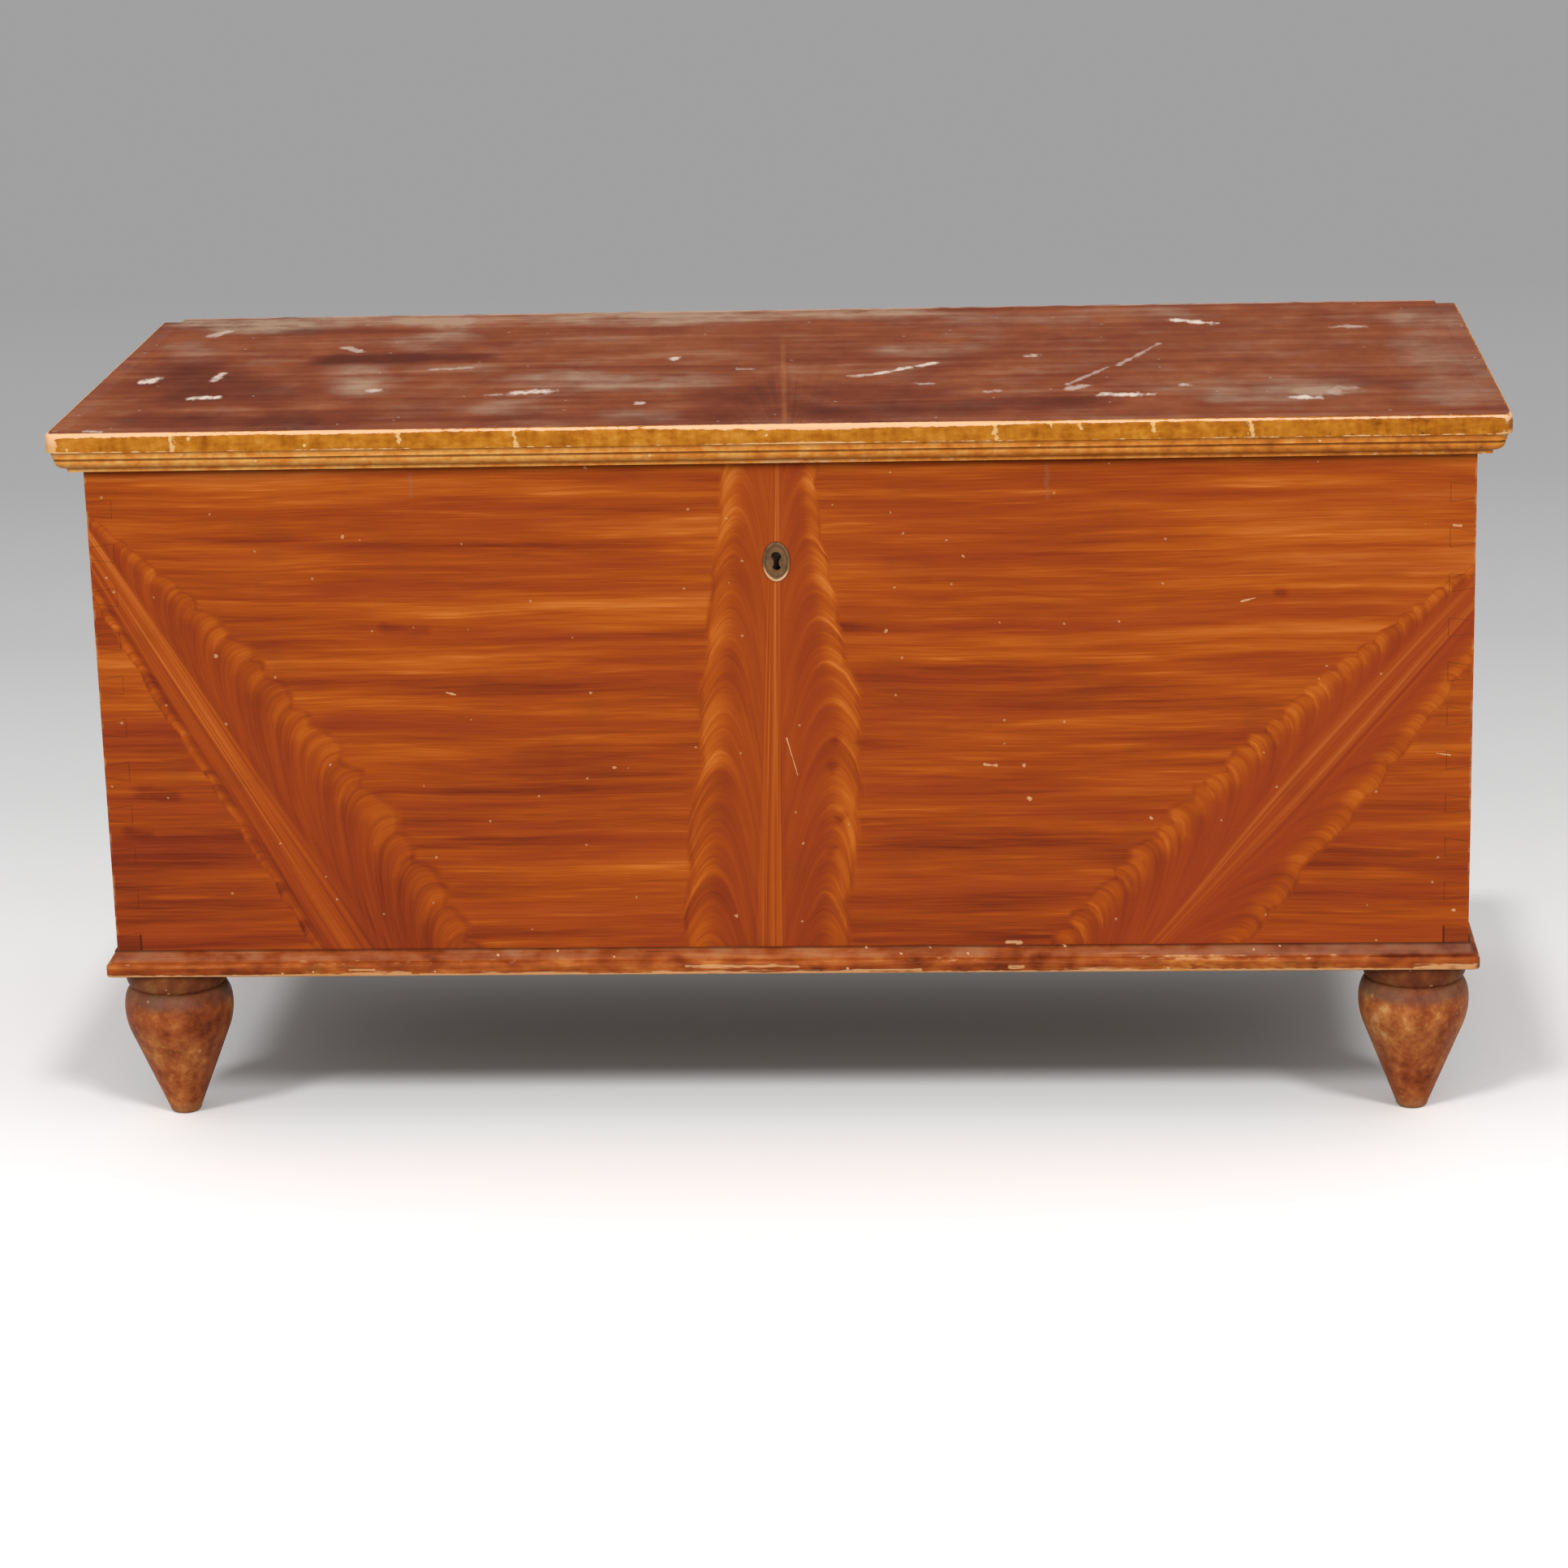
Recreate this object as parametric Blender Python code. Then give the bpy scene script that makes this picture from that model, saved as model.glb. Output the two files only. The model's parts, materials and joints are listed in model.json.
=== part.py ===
"""Grain-painted pine blanket chest: a dovetailed case on turned feet, with a moulded lid on butt hinges and a lock.

Metres, +Z up. The chest faces -Y and stands on z = 0, with its bounding box centred on the Z axis.
The lid is shown closed and the lock's bolt drawn back, so that the lid is free to open.
"""
import math

import bmesh
import bpy
from mathutils import Matrix, Vector

for old in list(bpy.data.objects):
    bpy.data.objects.remove(old, do_unlink=True)

# Gaps
FIT = 0.0003               # between pieces that touch
LID_GAP = 0.0005           # between the top of the case and the closed lid
LID_REVEAL = 0.008         # between the case and the moulding that hangs round it from the lid
PAST = 0.005               # how far a cutter runs past the face that it opens

# Case boards
CASE_WIDTH = 1.214
CASE_DEPTH = 0.514
WALL_HEIGHT = 0.462
WALL = 0.022
BOTTOM = 0.020
BOTTOM_FRONT_WIDTH = 0.270

# Dovetails, with tails on the front and back boards and pins on the end boards
TAIL_COUNT = 11
HALF_PIN = 0.016
PIN = 0.011
DOVETAIL_SLOPE = 1 / 7

# Base moulding, nailed over the edge of the bottom
BASE_HEIGHT = 0.023
BASE_THICKNESS = 0.010
BASE_FACE = 0.0125
BASE_NOSE = 0.0015
BASE_FILLET = 0.002

# Turned feet
FOOT_HEIGHT = 0.146
FOOT_INSET = 0.044
COLLAR_RADIUS = 0.050
COLLAR_BAND = 0.012
COLLAR_OVOLO = 0.014
COLLAR_FOOT_RADIUS = 0.0445
GROOVE_RADIUS = 0.0415
GROOVE_HEIGHT = 0.002
SHOULDER_RADIUS = 0.0425
SHOULDER_HEIGHT = 0.017
BULB_RADIUS = 0.0495
SWELL_RADIUS = 0.065
TIP_RADIUS = 0.0145
TIP_ROUND = 0.004
TENON_RADIUS = 0.016
KERF = 0.003
KERF_DEPTH = 0.015
KERF_TAPER = 0.001

# Lid
LID = 0.022
LID_BACK_OVERHANG = 0.019
LID_MOULDING_HEIGHT = 0.037
LID_MOULDING_THICKNESS = 0.020
LID_FASCIA = 0.017
LID_ARRIS = 0.004
LID_COVE_HEIGHT = 0.0065
LID_COVE_DEPTH = 0.0045
LID_QUIRK = 0.002
LID_FILLET_WIDTH = 0.004
LID_FILLET_HEIGHT = 0.0035

# Open till at the left end
TILL_WIDTH = 0.140
TILL_DEPTH = 0.115
TILL_DROP = 0.030
TILL_BOARD = 0.010
TILL_GROOVE = 0.006

# Butt hinges
HINGE_INSET = 0.230
HINGE_LENGTH = 0.064
KNUCKLE_COUNT = 5
KNUCKLE_RADIUS = 0.0045
LEAF = 0.0024
LEAF_WIDTH = 0.019
HINGE_PIN_RADIUS = 0.0022
HINGE_PLAY = 0.0003

# Wood screws
SCREW_HEAD_RADIUS = 0.0036
SCREW_HEAD_DEPTH = 0.0021
SCREW_SHANK_RADIUS = 0.0018
SCREW_POINT_RADIUS = 0.0005
SCREW_POINT = 0.005
SCREW_SLOT_WIDTH = 0.0008
SCREW_SLOT_DEPTH = 0.0007
HINGE_SCREW_COUNT = 3
HINGE_SCREW_SPACING = 0.021
HINGE_SCREW_LENGTH = 0.017
LOCK_SCREW_LENGTH = 0.014
LOCK_SCREW_INSET = 0.0065
STRIKE_SCREW_LENGTH = 0.016
STRIKE_SCREW_INSET = 0.008

# Half-mortise lock: plate on the inner face, works let into the front board, selvage on its top edge
KEY_DROP = 0.105
LOCK_PLATE = 0.0025
LOCK_WIDTH = 0.120
LOCK_BELOW_KEY = 0.030
LOCK_MARGIN = 0.013
SELVAGE = 0.017
WORKS_DEPTH = 0.013
STUD_SPACING = 0.044
STUD_RADIUS = 0.003
STUD_SHOULDER_RADIUS = 0.005
BOLT = 0.004
BOLT_TRAVEL = 0.009
BOLT_WIDTH = 0.072
BOLT_BAR = 0.016
BOLT_KEY_LIFT = 0.0105
BOLT_ARM = 0.010
BOLT_BACK = 0.003          # from the plate to the bolt
TALON_WIDTH = 0.009
TALON_DEPTH = 0.005
FINGER = 0.010
FINGER_SHY = 0.002         # from the drawn bolt's tip to the staple
CAP = 0.0015
CAP_WIDTH = 0.070
CAP_HEIGHT = 0.050

# Strike on the lid, with a staple that drops into the lock
STRIKE = 0.0025
STRIKE_WIDTH = 0.060
STRIKE_DEPTH = 0.018
STAPLE = 0.004
STAPLE_LEG = 0.002
STAPLE_BAR = 0.005
STAPLE_DROP = 0.036
STAPLE_PLAY = 0.0005
STAPLE_SWAY = 0.003        # room in front of the staple as it swings out with the lid

# Keyhole and its escutcheon
KEYHOLE_HEAD_RADIUS = 0.0044
KEYHOLE_WAIST = 0.0048
KEYHOLE_FOOT = 0.0078
KEYHOLE_HEIGHT = 0.0178
ESCUTCHEON_WIDTH = 0.0245
ESCUTCHEON_HEIGHT = 0.036
ESCUTCHEON = 0.0014
ESCUTCHEON_EDGE = 0.0006

# Facets of round work
FOOT_FACETS = 26
SMALL_FACETS = 16
SCREW_FACETS = 10

# Finishes: colour, roughness, metallic
GRAINED_PAINT = ((0.36, 0.10, 0.025), 0.45, 0.0)
LID_PAINT = ((0.13, 0.035, 0.022), 0.40, 0.0)
OCHRE_PAINT = ((0.42, 0.22, 0.06), 0.50, 0.0)
BASE_PAINT = ((0.24, 0.06, 0.025), 0.45, 0.0)
FOOT_PAINT = ((0.20, 0.08, 0.03), 0.55, 0.0)
BARE_PINE = ((0.46, 0.30, 0.15), 0.75, 0.0)
IRON = ((0.10, 0.09, 0.08), 0.60, 0.9)
BRASS = ((0.34, 0.28, 0.16), 0.45, 0.9)

# Places that follow from the sizes
lid_overhang = LID_REVEAL + LID_MOULDING_THICKNESS
lid_width = CASE_WIDTH + 2 * lid_overhang
lid_depth = lid_overhang + CASE_DEPTH + LID_BACK_OVERHANG
front_y = lid_overhang - lid_depth / 2
back_y = front_y + CASE_DEPTH
front_inner_y = front_y + WALL
back_inner_y = back_y - WALL
end_inner_x = CASE_WIDTH / 2 - WALL
bottom_z = FOOT_HEIGHT + FIT
wall_z = bottom_z + BOTTOM + FIT
wall_top = wall_z + WALL_HEIGHT
lid_z = wall_top + LID_GAP
lid_top = lid_z + LID
key_z = wall_top - KEY_DROP
hinge_y = back_y + KNUCKLE_RADIUS + FIT
hinge_z = (wall_top + lid_z) / 2
tail = (WALL_HEIGHT - 2 * HALF_PIN - (TAIL_COUNT - 1) * PIN) / TAIL_COUNT
tail_starts = [HALF_PIN + i * (tail + PIN) for i in range(TAIL_COUNT)]
SIDES = (("left", -1), ("right", 1))


def along_x(u, v, w):
    return Vector((w, u, v))


def along_y(u, v, w):
    return Vector((u, w, v))


def arc(centre, radii, start, end, steps):
    """Points of an elliptical arc between two angles in degrees."""
    points = []
    for i in range(steps + 1):
        angle = math.radians(start + (end - start) * i / steps)
        points.append((centre[0] + radii[0] * math.cos(angle), centre[1] + radii[1] * math.sin(angle)))
    return points


def block(low, high):
    """A rectangular solid between two corners."""
    low, high = Vector(low), Vector(high)
    bm = bmesh.new()
    bmesh.ops.create_cube(bm, size=1.0)
    bmesh.ops.scale(bm, vec=high - low, verts=bm.verts)
    bmesh.ops.translate(bm, vec=(low + high) / 2, verts=bm.verts)
    return bm


def add_prism(bm, outline, low, high, space):
    """Extrude a flat outline in u and v from w = low to w = high, as one more body of bm."""
    face = bm.faces.new([bm.verts.new(space(u, v, low)) for u, v in outline])
    grown = bmesh.ops.extrude_face_region(bm, geom=[face])["geom"]
    verts = [item for item in grown if isinstance(item, bmesh.types.BMVert)]
    bmesh.ops.translate(bm, vec=space(0, 0, high) - space(0, 0, low), verts=verts)


def prism(outline, low, high, space):
    bm = bmesh.new()
    add_prism(bm, outline, low, high, space)
    bmesh.ops.recalc_face_normals(bm, faces=bm.faces)
    return bm


def swept(profile, ends, space):
    """Run a moulding's profile between two ends, each a place and the slant of its mitre."""
    bm = bmesh.new()
    for place, slant in ends:
        bm.faces.new([bm.verts.new(space(place + slant * out, out, up)) for out, up in profile])
    bmesh.ops.bridge_loops(bm, edges=bm.edges[:])
    bmesh.ops.recalc_face_normals(bm, faces=bm.faces)
    return bm


def turned(profile, facets):
    """Spin a profile of radii and heights about Z, and close its two ends flat."""
    bm = bmesh.new()
    verts = [bm.verts.new((radius, 0, height)) for radius, height in profile]
    edges = [bm.edges.new(pair) for pair in zip(verts, verts[1:])]
    bmesh.ops.spin(bm, geom=verts + edges, axis=(0, 0, 1), cent=(0, 0, 0), angle=2 * math.pi,
                   steps=facets, use_merge=True)
    bmesh.ops.holes_fill(bm, edges=[edge for edge in bm.edges if edge.is_boundary], sides=0)
    bmesh.ops.recalc_face_normals(bm, faces=bm.faces)
    return bm


def rod(radius, low, high):
    """A round bar along X."""
    bm = turned([(radius, high), (radius, low)], SMALL_FACETS)
    bmesh.ops.rotate(bm, matrix=Matrix.Rotation(math.pi / 2, 3, "Y"), verts=bm.verts)
    return bm


def moved(bm, place):
    bmesh.ops.translate(bm, vec=place, verts=bm.verts)
    return bm


def turned_to(bm, matrix):
    bmesh.ops.rotate(bm, matrix=matrix, verts=bm.verts)
    return bm


def piece(name, shape, finish, place=(0, 0, 0), pivot=None, smooth=False):
    """Make a named piece of the chest from a bmesh, or from a mesh that it shares with like pieces."""
    if isinstance(shape, bmesh.types.BMesh):
        mesh = bpy.data.meshes.new(name)
        shape.to_mesh(mesh)
        shape.free()
    else:
        mesh = shape
    if smooth:
        mesh.shade_smooth()
        mesh.set_sharp_from_angle(angle=math.radians(35))
    made = bpy.data.objects.new(name, mesh)
    bpy.context.collection.objects.link(made)
    made.location = place
    if pivot:
        made.parent = pivot
        made.location = Vector(place) - pivot.location
    colour, roughness, metallic = finish
    material = bpy.data.materials.new(name + "_finish")
    material.use_nodes = True
    shader = material.node_tree.nodes["Principled BSDF"]
    shader.inputs["Base Color"].default_value = (*colour, 1.0)
    shader.inputs["Roughness"].default_value = roughness
    shader.inputs["Metallic"].default_value = metallic
    if not mesh.materials:
        mesh.materials.append(None)
    made.material_slots[0].link = "OBJECT"
    made.material_slots[0].material = material
    return made


def join_shape(target, operation, bm):
    """Cut a shape out of a piece, or add it, with both given in the chest's own frame."""
    mesh = bpy.data.meshes.new(target.name + "_tool")
    bm.to_mesh(mesh)
    bm.free()
    tool = bpy.data.objects.new(target.name + "_tool", mesh)
    bpy.context.collection.objects.link(tool)
    tool.parent = target
    tool.location = -target.location
    if target.parent:
        tool.location -= target.parent.location
    tool.hide_render = True
    tool.display_type = "WIRE"
    boolean = target.modifiers.new(operation.lower(), "BOOLEAN")
    boolean.operation = operation
    boolean.solver = "EXACT"
    boolean.object = tool


def cut(target, bm):
    join_shape(target, "DIFFERENCE", bm)


def add(target, bm):
    join_shape(target, "UNION", bm)


def screw_profile(length, grow=0.0):
    return [(SCREW_HEAD_RADIUS + grow, 0.0),
            (SCREW_SHANK_RADIUS + grow, -SCREW_HEAD_DEPTH),
            (SCREW_SHANK_RADIUS + grow, SCREW_POINT - length),
            (SCREW_POINT_RADIUS + grow, -length - grow)]


def screw_mesh(length):
    """A countersunk wood screw with a slotted head, its head's face at z = 0 and its point down."""
    blank = piece("screw_blank", turned(screw_profile(length), SCREW_FACETS), IRON)
    cut(blank, block((-SCREW_HEAD_RADIUS - PAST, -SCREW_SLOT_WIDTH / 2, -SCREW_SLOT_DEPTH),
                     (SCREW_HEAD_RADIUS + PAST, SCREW_SLOT_WIDTH / 2, PAST)))
    bpy.context.view_layer.update()
    mesh = bpy.data.meshes.new_from_object(blank.evaluated_get(bpy.context.evaluated_depsgraph_get()))
    for scrap in (blank.modifiers[0].object, blank):
        bpy.data.objects.remove(scrap, do_unlink=True)
    return mesh


def drive_screw(name, mesh, length, head, turn, holders, pivot=None):
    """Set a screw with its head at a place, and open its hole through the pieces that it holds."""
    screw = piece(name, mesh, IRON, head, pivot)
    screw.rotation_euler = turn.to_euler()
    for holder in holders:
        top = SCREW_HEAD_RADIUS + FIT
        hole = turned([(top, PAST)] + screw_profile(length, FIT), SCREW_FACETS)
        cut(holder, moved(turned_to(hole, turn), head))


def tail_board_outline():
    """A front or back board in x and z, with its tails at both ends."""
    root = end_inner_x - FIT
    tip = CASE_WIDTH / 2
    lean = DOVETAIL_SLOPE * (tip - root)
    right = [(root, 0.0)]
    for start in tail_starts:
        right += [(root, start + lean), (tip, start), (tip, start + tail), (root, start + tail - lean)]
    right.append((root, WALL_HEIGHT))
    return right + [(-x, z) for x, z in reversed(right)]


def pin_board(side):
    """An end board, full depth, about the middle of its thickness, with sockets for the tails at both ends."""
    board = block((-WALL / 2, 0, 0), (WALL / 2, CASE_DEPTH, WALL_HEIGHT))
    sockets = bmesh.new()
    inner, outer = -WALL / 2 - PAST, WALL / 2 + PAST
    for start in tail_starts:
        middle = start + tail / 2
        half_inner = tail / 2 + FIT - DOVETAIL_SLOPE * (WALL + PAST)
        half_outer = tail / 2 + FIT + DOVETAIL_SLOPE * PAST
        outline = [(side * inner, middle - half_inner), (side * outer, middle - half_outer),
                   (side * outer, middle + half_outer), (side * inner, middle + half_inner)]
        add_prism(sockets, outline, -PAST, WALL + FIT, along_y)
        add_prism(sockets, outline, CASE_DEPTH - WALL - FIT, CASE_DEPTH + PAST, along_y)
    bmesh.ops.recalc_face_normals(sockets, faces=sockets.faces)
    return board, sockets


# The dovetailed case
case_boards = {}
for name, place_y in (("front_board", front_y), ("back_board", back_inner_y)):
    finish = GRAINED_PAINT if name == "front_board" else BARE_PINE
    shape = prism(tail_board_outline(), 0, WALL, along_y)
    case_boards[name] = piece(name, shape, finish, (0, place_y, wall_z))
front_board = case_boards["front_board"]
back_board = case_boards["back_board"]
for side_name, side in SIDES:
    board, sockets = pin_board(side)
    place = Vector((side * (CASE_WIDTH - WALL) / 2, front_y, wall_z))
    end_board = piece(side_name + "_end_board", board, GRAINED_PAINT, place)
    cut(end_board, moved(sockets, place))

# The bottom: two boards side by side, nailed up under the walls
bottom_split = front_y + BOTTOM_FRONT_WIDTH
bottom_boards = {}
for name, low_y, high_y in (("front", front_y, bottom_split), ("back", bottom_split + FIT, back_y)):
    shape = block((-CASE_WIDTH / 2, 0, 0), (CASE_WIDTH / 2, high_y - low_y, BOTTOM))
    bottom_boards[name] = piece("bottom_board_" + name, shape, BARE_PINE, (0, low_y, bottom_z))


def base_profile():
    """Base moulding in distance out and height: a face with eased edges, a cove above it and a fillet."""
    face_top = BASE_FACE - BASE_NOSE
    lower = arc((BASE_THICKNESS - BASE_NOSE, BASE_NOSE), (BASE_NOSE, BASE_NOSE), -90, 0, 3)
    nose = arc((BASE_THICKNESS - BASE_NOSE, face_top), (BASE_NOSE, BASE_NOSE), 0, 90, 3)
    cove_radii = (BASE_THICKNESS - BASE_NOSE - BASE_FILLET, BASE_HEIGHT - BASE_FILLET - BASE_FACE)
    cove = arc((BASE_THICKNESS - BASE_NOSE, BASE_HEIGHT - BASE_FILLET), cove_radii, 270, 180, 6)
    return [(0.0, 0.0)] + lower + nose + cove[1:] + [(BASE_FILLET, BASE_HEIGHT), (0.0, BASE_HEIGHT)]


def lid_profile():
    """Lid moulding in distance out and height: rounded arris, fascia, cove, quirk, ovolo and fillet."""
    out, top = LID_MOULDING_THICKNESS, LID_MOULDING_HEIGHT
    arris = arc((out - LID_ARRIS, top - LID_ARRIS), (LID_ARRIS, LID_ARRIS), 90, 0, 4)
    cove_foot = top - LID_FASCIA - LID_COVE_HEIGHT
    cove = arc((out, cove_foot), (LID_COVE_DEPTH, LID_COVE_HEIGHT), 90, 180, 5)
    quirk_out = out - LID_COVE_DEPTH - LID_QUIRK
    quirk = [(quirk_out, cove_foot), (quirk_out, cove_foot - LID_QUIRK)]
    ovolo_radii = (quirk_out + LID_QUIRK / 2 - LID_FILLET_WIDTH, cove_foot - LID_QUIRK - LID_FILLET_HEIGHT)
    ovolo = arc((LID_FILLET_WIDTH, cove_foot - LID_QUIRK), ovolo_radii, 0, -90, 6)
    return [(0.0, top)] + arris + cove + quirk + ovolo + [(LID_FILLET_WIDTH, 0.0), (0.0, 0.0)]


def mitred_set(prefix, profile, finish, half_width, near_y, far_y, place_z, pivot=None):
    """A moulding round the front and both ends, mitred at the front corners and cut square at the back."""
    def front_space(run, out, up):
        return Vector((run, -out, up))

    front = swept(profile, ((FIT - half_width, -1), (half_width - FIT, 1)), front_space)
    piece(prefix + "_front", front, finish, (0, near_y, place_z), pivot, smooth=True)
    for side_name, side in SIDES:
        def side_space(run, out, up, side=side):
            return Vector((side * out, run, up))

        shape = swept(profile, ((0, -1), (far_y - near_y, 0)), side_space)
        piece(prefix + "_" + side_name, shape, finish, (side * half_width, near_y, place_z), pivot, smooth=True)


mitred_set("base_moulding", base_profile(), BASE_PAINT, CASE_WIDTH / 2 + FIT, front_y - FIT, back_y, bottom_z)


def foot_profile():
    """Half section of a foot from the top of its tenon to its tip, in radius and height."""
    collar_foot = FOOT_HEIGHT - COLLAR_BAND - COLLAR_OVOLO
    groove_foot = collar_foot - GROOVE_HEIGHT
    widest = groove_foot - SHOULDER_HEIGHT
    ovolo_radii = (COLLAR_RADIUS - COLLAR_FOOT_RADIUS, COLLAR_OVOLO)
    ovolo = arc((COLLAR_FOOT_RADIUS, FOOT_HEIGHT - COLLAR_BAND), ovolo_radii, 0, -90, 4)
    shoulder_radii = (BULB_RADIUS - SHOULDER_RADIUS, SHOULDER_HEIGHT)
    shoulder = arc((SHOULDER_RADIUS, widest), shoulder_radii, 80, 0, 5)
    swell_centre = (BULB_RADIUS - SWELL_RADIUS, widest)
    run_in, fall = TIP_RADIUS - swell_centre[0], TIP_ROUND - widest
    leave = math.degrees(math.atan2(fall, run_in) + math.acos(SWELL_RADIUS / math.hypot(run_in, fall)))
    swell = arc(swell_centre, (SWELL_RADIUS, SWELL_RADIUS), 0, leave, 4)
    tip = arc((TIP_RADIUS - TIP_ROUND, TIP_ROUND), (TIP_ROUND, TIP_ROUND), 0, -90, 3)
    tenon = [(TENON_RADIUS, FOOT_HEIGHT + BOTTOM), (TENON_RADIUS, FOOT_HEIGHT)]
    groove = [(GROOVE_RADIUS, collar_foot), (GROOVE_RADIUS, groove_foot)]
    return tenon + [(COLLAR_RADIUS, FOOT_HEIGHT)] + ovolo + groove + shoulder + swell[1:] + tip


def wedge_outline(grow):
    """A wedge in y and z, down from the tenon's top."""
    top, foot = KERF / 2 + grow, KERF / 2 - KERF_TAPER + grow
    return [(-foot, -KERF_DEPTH - grow), (foot, -KERF_DEPTH - grow), (top, 0.0), (-top, 0.0)]


# Turned feet, their tenons through the bottom and wedged from inside
for end_name, foot_y in (("front", front_y + FOOT_INSET), ("back", back_y - FOOT_INSET)):
    for side_name, side in SIDES:
        label = end_name + "_" + side_name
        place = Vector((side * (CASE_WIDTH / 2 - FOOT_INSET), foot_y, 0))
        tenon_top = place + Vector((0, 0, FOOT_HEIGHT + BOTTOM))
        foot = piece("foot_" + label, turned(foot_profile(), FOOT_FACETS), FOOT_PAINT, place, smooth=True)
        kerf = wedge_outline(FIT)
        kerf[2:] = [(kerf[2][0], PAST), (kerf[3][0], PAST)]
        cut(foot, moved(prism(kerf, -TENON_RADIUS - PAST, TENON_RADIUS + PAST, along_x), tenon_top))
        wedge_reach = math.sqrt(TENON_RADIUS ** 2 - KERF ** 2)
        wedge = prism(wedge_outline(0.0), -wedge_reach, wedge_reach, along_x)
        piece("foot_wedge_" + label, wedge, BARE_PINE, tenon_top)
        tenon_hole = turned([(TENON_RADIUS + FIT, BOTTOM + PAST), (TENON_RADIUS + FIT, -PAST)], FOOT_FACETS)
        cut(bottom_boards[end_name], moved(tenon_hole, place + Vector((0, 0, FOOT_HEIGHT))))

# Open till: a side and a bottom let into grooves in the front and back boards
till_x = -end_inner_x + TILL_WIDTH
till_top = wall_top - TILL_DROP
till_floor = till_top - TILL_DEPTH
till_foot = till_floor - TILL_BOARD
till_reach = back_inner_y - front_inner_y + 2 * (TILL_GROOVE - FIT)
till_y = front_inner_y - TILL_GROOVE + FIT
piece("till_side", block((0, 0, 0), (TILL_BOARD, till_reach, till_top - till_foot)), BARE_PINE,
      (till_x, till_y, till_foot))
piece("till_bottom", block((0, 0, 0), (TILL_WIDTH - 2 * FIT, till_reach, TILL_BOARD)), BARE_PINE,
      (FIT - end_inner_x, till_y, till_foot))
for board, low_y, high_y in ((front_board, front_inner_y - TILL_GROOVE, front_inner_y + PAST),
                             (back_board, back_inner_y - PAST, back_inner_y + TILL_GROOVE)):
    cut(board, block((till_x - FIT, low_y, till_foot - FIT), (till_x + TILL_BOARD + FIT, high_y, till_top + FIT)))
    cut(board, block((-end_inner_x, low_y, till_foot - FIT), (till_x, high_y, till_floor + FIT)))

# The lid swings about an empty on the hinges' common axis
lid_pivot = bpy.data.objects.new("lid_pivot", None)
bpy.context.collection.objects.link(lid_pivot)
lid_pivot.location = (0, hinge_y, hinge_z)
lid_board_x = lid_width / 2 - LID_MOULDING_THICKNESS
lid_board_y = LID_MOULDING_THICKNESS - lid_depth / 2
lid_board = piece("lid_board",
                  block((FIT - lid_board_x, lid_board_y + FIT, 0), (lid_board_x - FIT, lid_depth / 2, LID)),
                  LID_PAINT, (0, 0, lid_z), lid_pivot)
mitred_set("lid_moulding", lid_profile(), OCHRE_PAINT, lid_board_x, lid_board_y, back_y,
           lid_top - LID_MOULDING_HEIGHT, lid_pivot)


def hinge_leaf(name, x, up, own, pivot):
    """One leaf of a butt hinge on the hinge axis at x, below the lid's joint for up = -1 or above it for up = 1."""
    centre = Vector((x, hinge_y, hinge_z))
    near, far = sorted((up * LID_GAP / 2, up * (LID_GAP / 2 + LEAF)))
    edge = -KNUCKLE_RADIUS - FIT
    plate = block((-HINGE_LENGTH / 2, edge - LEAF_WIDTH, near), (HINGE_LENGTH / 2, edge, far))
    leaf = piece(name, plate, IRON, centre, pivot)
    pitch = HINGE_LENGTH / KNUCKLE_COUNT
    for i in own:
        low = i * pitch - HINGE_LENGTH / 2 + FIT / 2
        high = low + pitch - FIT
        thin = FIT / 3
        tongue = block((low + thin, edge - KNUCKLE_RADIUS, near + thin), (high - thin, 0, far - thin))
        add(leaf, moved(tongue, centre))
        add(leaf, moved(rod(KNUCKLE_RADIUS, low, high), centre))
    cut(leaf, moved(rod(HINGE_PIN_RADIUS + HINGE_PLAY, -HINGE_LENGTH, HINGE_LENGTH), centre))
    return leaf


# Two iron butt hinges between the back board's top edge and the lid
hinge_screw = screw_mesh(HINGE_SCREW_LENGTH)
head_up = Matrix.Identity(3)
head_down = Matrix.Rotation(math.pi, 3, "X")
for side_name, side in SIDES:
    label = "hinge_" + side_name
    hinge_x = side * (CASE_WIDTH / 2 - HINGE_INSET)
    case_leaf = hinge_leaf(label + "_case_leaf", hinge_x, -1, range(0, KNUCKLE_COUNT, 2), None)
    lid_leaf = hinge_leaf(label + "_lid_leaf", hinge_x, 1, range(1, KNUCKLE_COUNT, 2), lid_pivot)
    piece(label + "_pin", rod(HINGE_PIN_RADIUS, -HINGE_LENGTH / 2, HINGE_LENGTH / 2), IRON,
          (hinge_x, hinge_y, hinge_z), smooth=True)
    reach = HINGE_LENGTH / 2 + FIT
    leaf_front = back_y - LEAF_WIDTH - FIT
    cut(back_board, block((hinge_x - reach, leaf_front, wall_top - LEAF - FIT),
                          (hinge_x + reach, back_y + PAST, wall_top + PAST)))
    cut(lid_board, block((hinge_x - reach, leaf_front, lid_z - PAST), (hinge_x + reach, hinge_y, lid_z + LEAF + FIT)))
    cut(lid_board, moved(rod(KNUCKLE_RADIUS + HINGE_PLAY, -reach, reach), (hinge_x, hinge_y, hinge_z)))
    for i in range(HINGE_SCREW_COUNT):
        screw_x = hinge_x + (i - (HINGE_SCREW_COUNT - 1) / 2) * HINGE_SCREW_SPACING
        screw_y = back_y - LEAF_WIDTH / 2
        drive_screw(f"{label}_case_screw_{i + 1}", hinge_screw, HINGE_SCREW_LENGTH,
                    Vector((screw_x, screw_y, wall_top)), head_up, (case_leaf, back_board))
        drive_screw(f"{label}_lid_screw_{i + 1}", hinge_screw, HINGE_SCREW_LENGTH,
                    Vector((screw_x, screw_y, lid_z)), head_down, (lid_leaf, lid_board), lid_pivot)


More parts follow.
